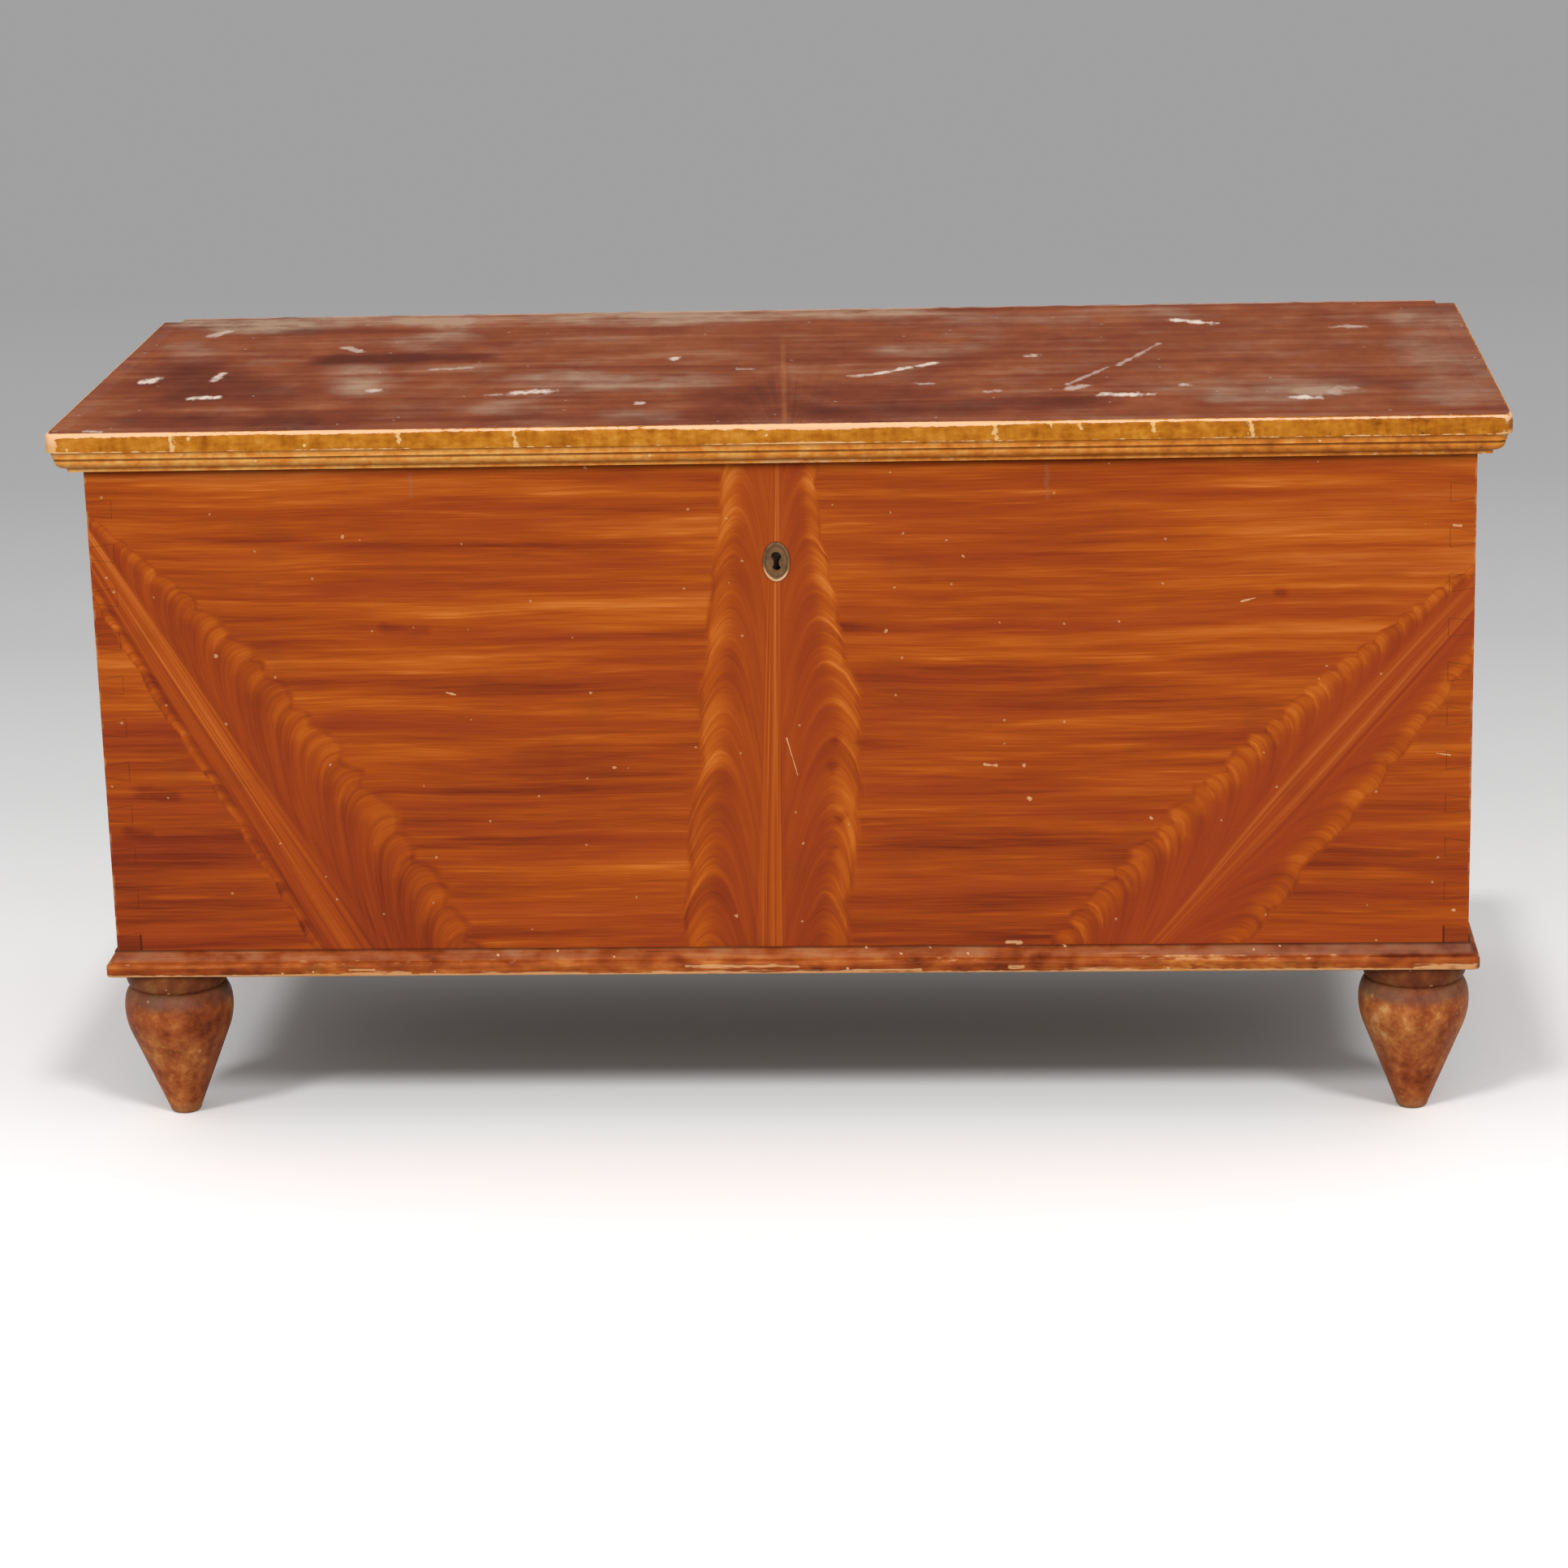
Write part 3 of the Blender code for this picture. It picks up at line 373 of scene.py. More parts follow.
bare, bare_height = pine_board(z, (1, 1, 0))
colour = painted.over(bare, paint)
sheen = 0.42 + (x.cloud((90, 90, 30), detail=3.0) - 0.5) * 0.30 + chips * 0.25 + (1 - painted) * 0.3
brushed = x.cloud((210, 80, 26)) * 1.6 + x.cloud((170, 170, 1.9)) * 0.5
end_finish(case_paint, colour, sheen, lay(bare_height, brushed, painted), 0.00025, specular=0.06)


def dress(name, finish):
    """Give a piece of the frame its finish."""
    for slot in nodes[name].material_slots:
        slot.material = finish


for name in ("front_board", "left_end_board", "right_end_board", "back_board"):
    dress(name, case_paint)


# Bottom, till and wedges: pine left bare, planed by hand and browned by age. The bottom's two boards lie
# under the case and run along it, dirty beneath. The till's thin boards run from front to back, let into
# grooves, and the wedges spread the feet's tenons.
underside = millimetres("bottom_board_front")[0][2]
for name, across, run in (("bottom_board_front", 1, (1, 0, 1)), ("bottom_board_back", 1, (1, 0, 1)),
                          ("till_side", 2, (1, 1, 0)), ("till_bottom", 0, (0, 1, 1))):
    bare_pine, _, *axes = start_finish("bare_pine_" + name)
    colour, height = pine_board(axes[across], run)
    under = axes[2] < underside + 0.7
    colour = (under * 0.65).over(colour, srgb(70, 58, 48))
    end_finish(bare_pine, colour, 0.70 + height * 0.2, height, 0.0002, specular=0.2)
    dress(name, bare_pine)
for corner in ("front_left", "front_right", "back_left", "back_right"):
    dress("foot_wedge_" + corner, bare_pine)


# Base moulding: a small pine cove and nose, mitred at the front corners and nailed over the bottom's
# edge. Painted red-brown with the case, dusty on its upper slope and worn to the ground along its nose.
def arc(centre, radii, start, end, steps):
    """Places along a part of an ellipse, between two angles in degrees."""
    angles = (math.radians(start + (end - start) * i / steps) for i in range(steps + 1))
    return [(centre[0] + radii[0] * math.cos(a), centre[1] + radii[1] * math.sin(a)) for a in angles]


def set_piece(bm, name, finish, body, node, sharp=40):
    """Make a shape a piece that rides on a body in a node's place, smooth except at its sharp edges."""
    mesh = bpy.data.meshes.new(name)
    bm.to_mesh(mesh)
    bm.free()
    mesh.shade_smooth()
    mesh.set_sharp_from_angle(angle=math.radians(sharp))
    mesh.materials.append(finish)
    made = bpy.data.objects.new(name, mesh)
    bpy.context.collection.objects.link(made)
    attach(made, body)
    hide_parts(node)


def plane_mouldings(kind, profile, finish, body, wear, rounding):
    """Run a profile along the front, and along both ends from their front mitres.

    Wear dents it, and rounds its mitred corners."""
    inner_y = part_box(kind + "_moulding_front")[1][1]
    (inner_x, _, low), (_, back, _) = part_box(kind + "_moulding_right")
    mitre_gap = 0.0003
    out_most = max(out for out, up in profile)
    for place, side in (("front", 0), ("left", -1), ("right", 1)):
        node = f"{kind}_moulding_{place}"
        start, stop = (0.0, back - inner_y) if side else (mitre_gap - inner_x, inner_x - mitre_gap)
        mitres = ((start, -1),) if side else ((start, -1), (stop, 1))
        bm = bmesh.new()
        face = bm.faces.new([bm.verts.new((start, -out, up)) for out, up in profile])
        grown = bmesh.ops.extrude_face_region(bm, geom=[face])["geom"]
        far = [item for item in grown if isinstance(item, bmesh.types.BMVert)]
        bmesh.ops.translate(bm, vec=(stop - start, 0, 0), verts=far)
        long_edges = [edge for edge in bm.edges if abs(edge.verts[0].co.x - edge.verts[1].co.x) > 0.01]
        bmesh.ops.subdivide_edges(bm, edges=long_edges, cuts=90, use_grid_fill=True)
        for end, way in mitres:
            for part in (0.12, 0.3, 0.55, 0.8, 1.0):
                bmesh.ops.bisect_plane(bm, geom=bm.verts[:] + bm.edges[:] + bm.faces[:],
                                       plane_co=(end - way * part * rounding, 0, 0), plane_no=(1, 0, 0))
        for vert in bm.verts:
            out = -vert.co.y
            dent = noise.noise(Vector((vert.co.x * 22, vert.co.z * 60, side * 7.0)))
            nick = max(0.0, noise.noise(Vector((vert.co.x * 90, vert.co.z * 40, 3.0 + side))) - 0.25)
            inset = (0.5 + 0.5 * dent + 3.0 * nick) * wear * max(0.0, out / out_most - 0.3)
            shift = 0.0
            for end, way in mitres:
                reach = 1 - abs(vert.co.x - end) / (stop - start)
                shift += way * out * max(0.0, reach if side else 2 * reach - 1)
                turn = max(0.0, 1 - abs(vert.co.x - end) / rounding) * math.pi / 4
                if turn:
                    radius = rounding * out / out_most
                    shift = end + way * (out - radius * (1 - math.sin(turn))) - vert.co.x
                    inset = radius * (1 - math.cos(turn)) + inset * math.cos(2 * turn)
            vert.co.x += shift
            vert.co.y += inset
        if side:
            bmesh.ops.rotate(bm, matrix=Matrix.Rotation(math.pi / 2, 3, "Z"), verts=bm.verts)
        if side < 0:
            bmesh.ops.scale(bm, vec=(-1, 1, 1), verts=bm.verts)
        bmesh.ops.recalc_face_normals(bm, faces=bm.faces)
        bmesh.ops.translate(bm, vec=(side * inner_x, inner_y, low), verts=bm.verts)
        set_piece(bm, node + "_run", finish, body, node, sharp=38)


base_finish, place, x, y, z = start_finish("worn_base_paint")
(_, base_face, base_low), (_, base_y, base_high) = millimetres("base_moulding_front")
base_x = millimetres("base_moulding_right")[0][0]
base_tall, base_deep = (base_high - base_low) / 1000, (base_y - base_face) / 1000
face_top, low_round, nose_round = 0.0125, 0.0015, 0.004
fillet, fillet_low = 0.002, 0.021
out = (abs(x) - base_x).math("MAXIMUM", base_y - y)
above = z - (base_low + face_top * 1000)
tone, _ = level_streaks(z * 1.4)
mottle = x.cloud((26, 26, 14), detail=4.0)
tone = tone + (mottle - 0.5) * 1.8 + x.rise(100, 500) * (1 - above.rise(-1.8, 0.2) * 1.8) * 0.10
colour = tone.ramp((0.0, 96, 36, 14), (0.4, 146, 66, 24), (0.7, 170, 86, 34), (1.0, 196, 118, 56))
slope_dust = 0.16 + (mottle - 0.5) * 1.7 + abs(x + 110).rise(330, 640) * 0.30
slope_dust = slope_dust * above.rise(-0.3, 2.2)
colour = slope_dust.over(colour, srgb(140, 98, 78))
seam = z.rise(base_high - 2.2, base_high - 0.6) * (1 - out.rise(1.5, 3.2))
colour = (seam * 0.75).over(colour, srgb(58, 26, 16))

# The paint is worn through along the lower edge and the nose, in patches and in long runs.
bare_patch = x.cloud((110, 110, 40), 5.0, detail=3.0)
low_edge = (1 - z.rise(base_low + 0.5, base_low + 4.5)) * out.rise(6.5, 9.0)
nose_edge = above.rise(-3.8, -0.8) * (1 - above.rise(0.7, 2.7))
ragged = x.cloud((9, 9, 3), 8.0, detail=4.0)
worn = (low_edge * 0.8 + nose_edge * 0.3 + bare_patch * 1.2 + ragged * 0.95).rise(1.44, 1.70)
torn = (x.cloud((26, 26, 3), detail=4.0, roughness=0.65) - 0.5) * 3.0
nose_y = front_y - base_deep * 1000
for left, right, high, width in (
        (-400, -340, 149, 3), (-330, -180, 148, 3), (-120, 70, 148, 3.5), (-90, 10, 154, 2.5),
        (250, 312, 148, 4), (200, 212, 152, 3), (560, 612, 149.5, 4.5), (-585, -560, 161, 3),
        (-395, -372, 153, 2), (60, 120, 150, 2)):
    run = scratch(place, torn, (left, nose_y, high), (right, nose_y, high), width, 0.9, 0.1)
    worn = worn.math("MAXIMUM", run)
colour = (worn * 0.8).over(colour, srgb(222, 166, 112))
gold = bare_patch.rise(0.55, 0.7) * (1 - above.rise(-2.8, 1.2)) * ragged.rise(0.35, 0.6)
colour = (gold * 0.7).over(colour, srgb(196, 124, 48))
chips = flecks(x, 1.5, 0.4, (20, 28, 0), slant, 4.0)
colour = (chips * 0.8).over(colour, srgb(222, 174, 126))
sheen = 0.46 + (mottle - 0.5) * 0.3 + worn * 0.2
height = mottle * 0.8 - worn * 0.9 - chips * 0.6
end_finish(base_finish, colour, sheen, height, 0.0003, specular=0.08)

# Its profile, from the lower edge up: a rounded face and nose, a cove and a fillet.
cove_out = base_deep - nose_round
base_profile = [(0.0, 0.0)]
base_profile += arc((base_deep - low_round, low_round), (low_round, low_round), -90, 0, 6)
base_profile += arc((cove_out, face_top - nose_round), (nose_round, nose_round), 0, 90, 10)
base_profile += arc((cove_out, fillet_low), (cove_out - fillet, fillet_low - face_top), 270, 180, 14)[1:]
base_profile += [(fillet, base_tall), (0.0, base_tall)]
plane_mouldings("base", base_profile, base_finish, "case", wear=0.0004, rounding=0.006)


# Feet: each turned from one piece of maple or birch, with a round tenon that is split and wedged in the
# bottom. Sponged in browns over a yellow ground, dark with dust on the shoulder and worn at the tip.
foot_finish, _, x, _, z = start_finish("sponged_foot_paint")
foot_top, tenon_top, tenon_radius, kerf = 0.146, 0.166, 0.016, 0.0033
collar, arris, turn_high, turn_in, turn_deep = 0.047, 0.0008, 0.137, 0.005, 0.0115
groove, groove_low, groove_edge = 0.0400, 0.1241, 0.0006
bulb, bulb_high, shoulder_in, shoulder_deep, belly = 0.0495, 0.104, 0.008, 0.0195, 0.065
tip_radius, tip_round = 0.0145, 0.004
over_bulb, over_groove = z - bulb_high * 1000, z - groove_low * 1000
sponge = x.cloud((14, 14, 18), detail=5.0, roughness=0.62)
drift = x.cloud((46, 46, 60))
dabs = x.cloud((5, 5, 4), detail=3.0)
tone = 0.5 + (sponge - 0.5) * 1.5 + (drift - 0.5) * 1.1 + (dabs - 0.5) * 0.4 + (x > 0) * 0.07
colour = tone.ramp((0.0, 92, 38, 18), (0.32, 138, 64, 30), (0.55, 162, 86, 43), (0.78, 188, 114, 57),
                   (1.0, 212, 156, 98))
yellow = x.cloud((9, 9, 7), 6.0, detail=4.0, roughness=0.65).rise(0.58, 0.68) * drift.rise(0.36, 0.6)
colour = (yellow * 0.5).over(colour, srgb(200, 146, 78))
shoulder = over_bulb.rise(2, 13) * (1 - over_groove.rise(-1.1, 0.9))
dust = shoulder * (0.58 + (drift - 0.5) * 1.6 + (sponge - 0.5) * 0.8)
colour = dust.over(colour, srgb(96, 72, 60))
# Painted shade: the groove and the collar above it, under the base moulding, are darkened.
colour = (over_groove.rise(-1.1, 1.9) * 0.65).over(colour, srgb(78, 40, 24))
tip = (1 - z.rise(3, 15)) * (0.7 + (sponge - 0.5) * 2)
colour = (tip * 0.6).over(colour, srgb(152, 108, 70))
nicks = flecks(x, 2.2, 0.35, (19, 19, 19), seed=12.0)
colour = (nicks * 0.45).over(colour, srgb(208, 162, 108))
turning = z.cloud((0, 0, 1.3)) - 0.5
height = sponge * 0.8 + turning * 0.35 - nicks * 0.8
end_finish(foot_finish, colour, 0.48 + (sponge - 0.5) * 0.4, height, 0.0004, specular=0.10)

# Its profile, from the top down: collar, groove, shoulder and bulb, and a taper to the rounded tip.
foot_profile = [(0.0, foot_top), (collar - arris, foot_top)]
foot_profile += arc((collar - arris, foot_top - arris), (arris, arris), 90, 0, 3)
foot_profile += arc((collar - turn_in, turn_high), (turn_in, turn_deep), 0, -90, 14)
foot_profile += [(groove + 0.0005, groove_low + 2 * groove_edge), (groove, groove_low + groove_edge)]
foot_profile += [(groove, groove_low)]
foot_profile += arc((bulb - shoulder_in, bulb_high), (shoulder_in, shoulder_deep), 88, 0, 18)
swell = (bulb - belly, bulb_high)
to_tip = (tip_radius - swell[0], tip_round - swell[1])
leave = math.degrees(math.atan2(to_tip[1], to_tip[0]) + math.acos(belly / math.hypot(*to_tip)))
foot_profile += arc(swell, (belly, belly), 0, leave, 12)[1:]
foot_profile += arc((tip_radius - tip_round, tip_round), (tip_round, tip_round), 0, -90, 6) + [(0.0, 0.0)]
for corner in ("front_left", "front_right", "back_left", "back_right"):
    foot_x, foot_y, _ = (round((low + high) / 2, 4) for low, high in zip(*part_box("foot_" + corner)))
    bm = bmesh.new()
    path = [bm.verts.new((radius, 0, height)) for radius, height in foot_profile]
    edges = [bm.edges.new(pair) for pair in zip(path, path[1:])]
    bmesh.ops.spin(bm, geom=path + edges, axis=(0, 0, 1), cent=(0, 0, 0), angle=2 * math.pi, steps=96,
                   use_merge=True)
    bmesh.ops.remove_doubles(bm, verts=bm.verts, dist=1e-6)
    for half in (1, -1):
        bar = bmesh.new()
        bmesh.ops.create_cone(bar, cap_ends=True, segments=48, radius1=tenon_radius, radius2=tenon_radius,
                              depth=tenon_top - foot_top)
        bmesh.ops.translate(bar, vec=(0, 0, (tenon_top + foot_top) / 2), verts=bar.verts)
        cut = bmesh.ops.bisect_plane(bar, geom=bar.verts[:] + bar.edges[:] + bar.faces[:],
                                     plane_co=(0, half * kerf / 2, 0), plane_no=(0, half, 0),
                                     clear_inner=True)["geom_cut"]
        bmesh.ops.holes_fill(bar, edges=[item for item in cut if isinstance(item, bmesh.types.BMEdge)])
        scrap = bpy.data.meshes.new("tenon_half")
        bar.to_mesh(scrap)
        bm.from_mesh(scrap)
        bar.free()
        bpy.data.meshes.remove(scrap)
    bmesh.ops.recalc_face_normals(bm, faces=bm.faces)
    bmesh.ops.translate(bm, vec=(foot_x, foot_y, 0), verts=bm.verts)
    set_piece(bm, "turned_foot_" + corner, foot_finish, "case", "foot_" + corner)


# Lid: one wide pine board on two hinges, painted dark red-brown on top and left bare beneath.
# Its top has lost its gloss in hazy rubs, partly a painted reflection, and is scuffed, scratched and
# splashed with white.
lid_finish, place, x, y, z = start_finish("rubbed_lid_paint")
(_, _, lid_low), (_, lid_back, lid_high) = millimetres("lid_board")
stem_x, stem_lean = -5.0, -0.061


def lid_top(place, x, y):
    """Colour, roughness and height of the lid's painted top, which runs on over the mouldings' tops."""
    line = y + x.cloud((400, 200, 0)) * 24
    band = x.cloud((260, 0, 0), line / 18, detail=3.0)
    comb = x.cloud((110, 0, 0), line / 3.0)
    scuff = x.cloud((36, 60, 0), detail=5.0, roughness=0.68) - 0.5
    cloudy = x.cloud((130, 150, 0), detail=4.0, roughness=0.6) - 0.5
    tone = 0.5 + (band - 0.5) * 0.7 + (comb - 0.5) * 0.22 + scuff * 0.6 + cloudy * 0.8
    # Areas that kept their dark glaze.
    dark = 0.0
    for left, right, width, strength in (
            ((-420, 50), (-300, 49), 56, 0.58), ((-480, 200), (-385, 199), 46, 0.24),
            ((-565, 20), (-530, -110), 100, 0.36), ((-520, -60), (-470, -120), 120, 0.30),
            ((-560, -225), (-420, -235), 70, 0.30), ((-400, -235), (0, -243), 40, 0.16),
            ((-60, -140), (120, -150), 80, 0.20), ((40, -225), (260, -200), 70, 0.36),
            ((120, -60), (200, 40), 90, 0.14), ((520, -110), (560, -140), 60, 0.20)):
        area = scratch(place, cloudy * 0.9, (*left, lid_high), (*right, lid_high), width, strength, 0.2)
        dark = area.math("MAXIMUM", dark)
    tone = tone - dark - (1 - x.rise(-560, -400)) * y.rise(150, 240) * 0.25
    colour = tone.ramp((0.0, 100, 40, 20), (0.35, 132, 60, 32), (0.6, 154, 80, 44), (1.0, 188, 120, 78))
    # A pale vein down the middle, and a dark fan of strokes at the front.
    off = x - stem_x - y * stem_lean
    fan = x.cloud((0, 260, 0), off / (y + 420) * 60, detail=3.0)
    fan = fan.rise(0.42, 0.62) * (1 - abs(off).rise(20, 75)) * (1 - y.rise(-150, 60))
    colour = (fan * 0.4).over(colour, srgb(96, 46, 34))
    vein = (1 - abs(off).rise(0.8, 3.5)) * (1 - y.rise(60, 150))
    colour = (vein * (0.30 + scuff)).over(colour, srgb(196, 124, 66))
    # Hazy rubs: dull, greyed paint, and partly a painted reflection of the light from above.
    wipe = x.cloud((80, 80, 0), detail=5.0, roughness=0.66) + (band - 0.5) * 0.5
    haze_and_painted_reflection = wipe.rise(0.46, 0.86) * 0.30
    for left, right, width, strength in (
            ((-600, 262), (-545, 235), 74, 0.85), ((-470, 245), (70, 262), 74, 0.80),
            ((-365, 235), (-335, 235), 60, 0.50), ((-360, 150), (-345, 140), 60, 0.45),
            ((-405, 10), (-385, -90), 50, 0.60), ((-256, -200), (-240, -150), 44, 0.40),
            ((-215, -70), (-85, -85), 70, 0.60), ((-140, -236), (-110, -232), 46, 0.45),
            ((110, 60), (160, 56), 60, 0.40), ((370, -140), (470, -165), 90, 0.40),
            ((600, 200), (590, -200), 66, 0.36), ((480, -170), (500, -170), 34, 0.70),
            ((-590, 130), (-560, 60), 46, 0.30), ((180, 215), (330, 225), 70, 0.30),
            ((-330, 0), (-290, 6), 44, 0.45)):
        area = scratch(place, cloudy * 2.0, (*left, lid_high), (*right, lid_high), width, strength, 0.2)
        haze_and_painted_reflection = haze_and_painted_reflection + area * wipe.rise(0.22, 0.66)
    haze_and_painted_reflection = haze_and_painted_reflection.math("MINIMUM", 0.72) * (1 - dark * 2.0)
    colour = haze_and_painted_reflection.over(colour, srgb(196, 166, 140))
    # White splashes and scratches.
    torn = (x.cloud((11, 30, 0), detail=4.0, roughness=0.62) - 0.5) * 2.6
    marks = flecks(x, 1.6, 0.22, (48, 48, 0), seed=5.0) * 0.4
    for left, right, width, strength in (
            ((-588, -48), (-586, -32), 13, 1.0), ((-529, -46), (-525, -10), 8, 0.8),
            ((-529, -127), (-512, -123), 13, 1.0), ((-573, 182), (-559, 206), 12, 0.5),
            ((-368, -106), (-368, -102), 12, 0.7), ((-596, -270), (-587, -272), 8, 0.6),
            ((-238, -124), (-214, -121), 18, 0.9), ((-258, -131), (-250, -129), 11, 0.5),
            ((-430, 111), (-412, 89), 10, 0.5), ((-329, -6), (-297, 1), 10, 0.4),
            ((-109, 28), (-109, 36), 10, 0.8), ((-121, -182), (-121, -177), 9, 0.7),
            ((62, -66), (84, -58), 10, 0.6), ((84, -58), (133, -9), 9, 0.9),
            ((-43, -26), (-36, -26), 9, 0.35), ((125, -108), (131, -107), 11, 0.45),
            ((186, -148), (193, -144), 9, 0.4), ((366, 190), (388, 175), 15, 1.0),
            ((515, 144), (532, 144), 13, 0.5), ((256, -120), (293, -40), 5, 0.45),
            ((302, -34), (342, 72), 5, 0.45), ((257, -141), (270, -126), 11, 0.55),
            ((292, -168), (320, -170), 15, 1.0), ((359, -130), (359, -126), 9, 0.6),
            ((461, -192), (468, -193), 15, 1.0), ((225, 18), (226, 24), 10, 0.6),
            ((490, -178), (500, -150), 14, 0.3)):
        mark = scratch(place, torn, (*left, lid_high), (*right, lid_high), width, strength, 0.2)
        marks = marks.math("MAXIMUM", mark)
    colour = marks.over(colour, srgb(240, 222, 206))
    gloss = 0.50 + haze_and_painted_reflection * 0.3 + marks * 0.2 + (comb - 0.5) * 0.2
    return colour, gloss, comb * 0.4 + scuff * 0.5 - marks * 0.7 + x.cloud((300, 60, 0)) * 2.0


top_colour, top_gloss, top_height = lid_top(place, x, y)
back_edge = y.rise(lid_back - 9, lid_back - 2) * x.cloud((26, 8, 0), detail=4.0).rise(0.34, 0.58)
top_colour = (back_edge * 0.8).over(top_colour, srgb(214, 178, 158))
bare, bare_height = pine_board(y + z, (1, 0, 0))
handled = z.rise(lid_low, lid_low + 4) * y.rise(lid_back - 0.6, lid_back - 0.3)
bare = (handled * 0.7).over(bare, srgb(92, 48, 28))
on_top = z > lid_high - 0.6
colour = on_top.over(bare, top_colour)
height = lay(bare_height, top_height, on_top)
end_finish(lid_finish, colour, top_gloss + (1 - on_top) * 0.3, height, 0.00025, specular=0.03)
dress("lid_board", lid_finish)


# Lid moulding: a pine fascia with a cove, quirk and ovolo under it, mitred at the front corners and
# nailed round the lid. Its face is ochre, cracked across in places, with the arrises worn to the pale
# wood. Painted shade darkens the quirk and the ovolo's foot, and painted light lightens the cove and
# ovolo.
edge_finish, place, x, y, z = start_finish("worn_ochre_paint")
(_, face_y, edge_low), (_, edge_y, _) = millimetres("lid_moulding_front")
edge_x = millimetres("lid_moulding_right")[0][0]
edge_out = edge_y - face_y
corner_x = edge_x + edge_out
before = edge_y - y
in_front = before > 1.5
out = (abs(x) - edge_x).math("MAXIMUM", before)
down = lid_high - z
mottle = x.cloud((21, 21, 9), detail=4.0, roughness=0.6)
dapple = x.cloud((5.5, 5.5, 4.5), detail=3.0)
drips = x.cloud((10, 10, 40), 3.0, detail=3.0)
tone = 0.5 + (mottle - 0.5) * 1.2 + (drips - 0.5) * 0.9 + (dapple - 0.5) * 0.6 - x.rise(200, 600) * 0.14
colour = tone.ramp((0.0, 132, 68, 8), (0.35, 174, 102, 20), (0.6, 194, 122, 32), (1.0, 214, 152, 66))
# The cove and ovolo are browner, and that brown is lightened as painted light under the fascia's
# overhang; lighter still towards the left.
brown_with_painted_light = tone + (1 - x.rise(-400, 300)) * 0.22
brown_with_painted_light = brown_with_painted_light.ramp((0.0, 176, 94, 32), (0.5, 222, 136, 52), (1.0, 242, 182, 98))
colour = down.rise(16.5, 18.5).over(colour, brown_with_painted_light)

# The crest, the lip under the face and the foot are worn pale, most of all at the corners.
ragged = x.cloud((9, 9, 7), detail=5.0, roughness=0.62)
dripping = (1 - abs(x - 40).rise(60, 190)) * in_front
patch = x.cloud((150, 150, 0)) + dripping * 0.25 + (1 - x.rise(-560, -200)) * 0.10
wide = 0.74 + dripping * 0.26 - x.rise(-560, -300) * 0.12 - x.rise(230, 420) * 0.14
crest = 1 - (down.math("MAXIMUM", edge_out - out) / wide).rise(2.0, 7.5)
wear_and_highlight = abs(x).rise(corner_x - 18, corner_x - 4) * 0.55
wear_and_highlight = wear_and_highlight + (1 - x.rise(3 - corner_x, 65 - corner_x)) * 0.30
crest = crest + wear_and_highlight * in_front
lip = (1 - abs(down - 17.0).rise(0.6, 2.4)) * 0.56
foot_lip = down.rise(33.0, 34.5) * 0.36
worn = (crest + lip + foot_lip).math("MINIMUM", 1.0) + (ragged - 0.5) * 1.5 + (patch - 0.5) * 1.3
worn = worn.rise(0.60, 0.80) * out.rise(1.5, 3.5)
pale = down.rise(6, 12).over(srgb(246, 196, 154), srgb(232, 176, 116))
colour = (worn * 0.92).over(colour, pale)

# Cracks across the face, painted shade in the quirk and at the ovolo's foot, dark spots at the right, and
# the lid's paint on top.
torn = (x.cloud((4, 4, 4), detail=3.0) - 0.5) * 2.2
cracks = flecks(x, 1.8, 0.25, (24, 34, 0), slant, 2.0)
for crack_x, low, width in (
        (-522.7, 636, 4.4), (-323.8, 639, 4.4), (-222.7, 636, 3.6), (192.1, 637, 4.4),
        (240.0, 646, 4.0), (265.1, 644, 3.4), (327.5, 641, 3.6), (410.5, 638, 5.0)):
    crack = scratch(place, torn, (crack_x, face_y, 650), (crack_x + 1.5, face_y, low), width)
    cracks = cracks.math("MAXIMUM", crack)
colour = (cracks * 0.75).over(colour, srgb(240, 198, 132))
# Painted shade: dark lines in the quirk and where the ovolo meets the foot.
quirk = (1 - abs(down - 24.6).rise(0.7, 1.5)) + (1 - abs(down - 33.3).rise(0.2, 0.9)) * 0.5
colour = (quirk.math("MINIMUM", 1.0) * 0.6).over(colour, srgb(70, 34, 14))
spots = flecks(x, 1.3, 0.35, (14, 19, 0), slant, 7.0) * x.rise(330, 560)
colour = (spots * 0.7).over(colour, srgb(72, 40, 18))
top_colour, top_gloss, top_height = lid_top(place, x, y)
on_top = 1 - (down + (ragged - 0.5) * 1.2).rise(0.05, 0.5)
on_top = on_top * (1 - (edge_out - out + (ragged - 0.5) * 5 < 3.4))
colour = on_top.over(colour, top_colour)
gloss = lay(0.46 + (mottle - 0.5) * 0.3 + worn * 0.2, top_gloss, on_top)
height = mottle * 0.7 - worn * 0.8 - cracks * 0.8 + dapple * 0.3
end_finish(edge_finish, colour, gloss, height, 0.0003, specular=0.08)

# Its profile, from the top down: a rounded crest and face, a cove, the quirk and an ovolo.
edge_tall, edge_deep = (lid_high - edge_low) / 1000, edge_out / 1000
tuck, crest_round = 0.0002, 0.004
cove_foot, cove_in, cove_tall = edge_tall - 0.0235, 0.0045, 0.0065
quirk_out, quirk_foot = 0.0135, cove_foot - 0.002
foot_out, foot_tall, ovolo_out = 0.004, 0.0035, quirk_out + 0.001
lid_profile = [(-tuck, edge_tall)]
lid_profile += arc((edge_deep - crest_round, edge_tall - crest_round), (crest_round, crest_round),
                   90, 0, 10)
lid_profile += arc((edge_deep, cove_foot), (cove_in, cove_tall), 90, 180, 12)
lid_profile += [(quirk_out, cove_foot), (quirk_out, quirk_foot)]
lid_profile += arc((foot_out, quirk_foot), (ovolo_out - foot_out, quirk_foot - foot_tall), 0, -90, 14)
lid_profile += [(foot_out, 0.0), (-tuck, 0.0)]
plane_mouldings("lid", lid_profile, edge_finish, "lid", wear=0.0006, rounding=0.012)


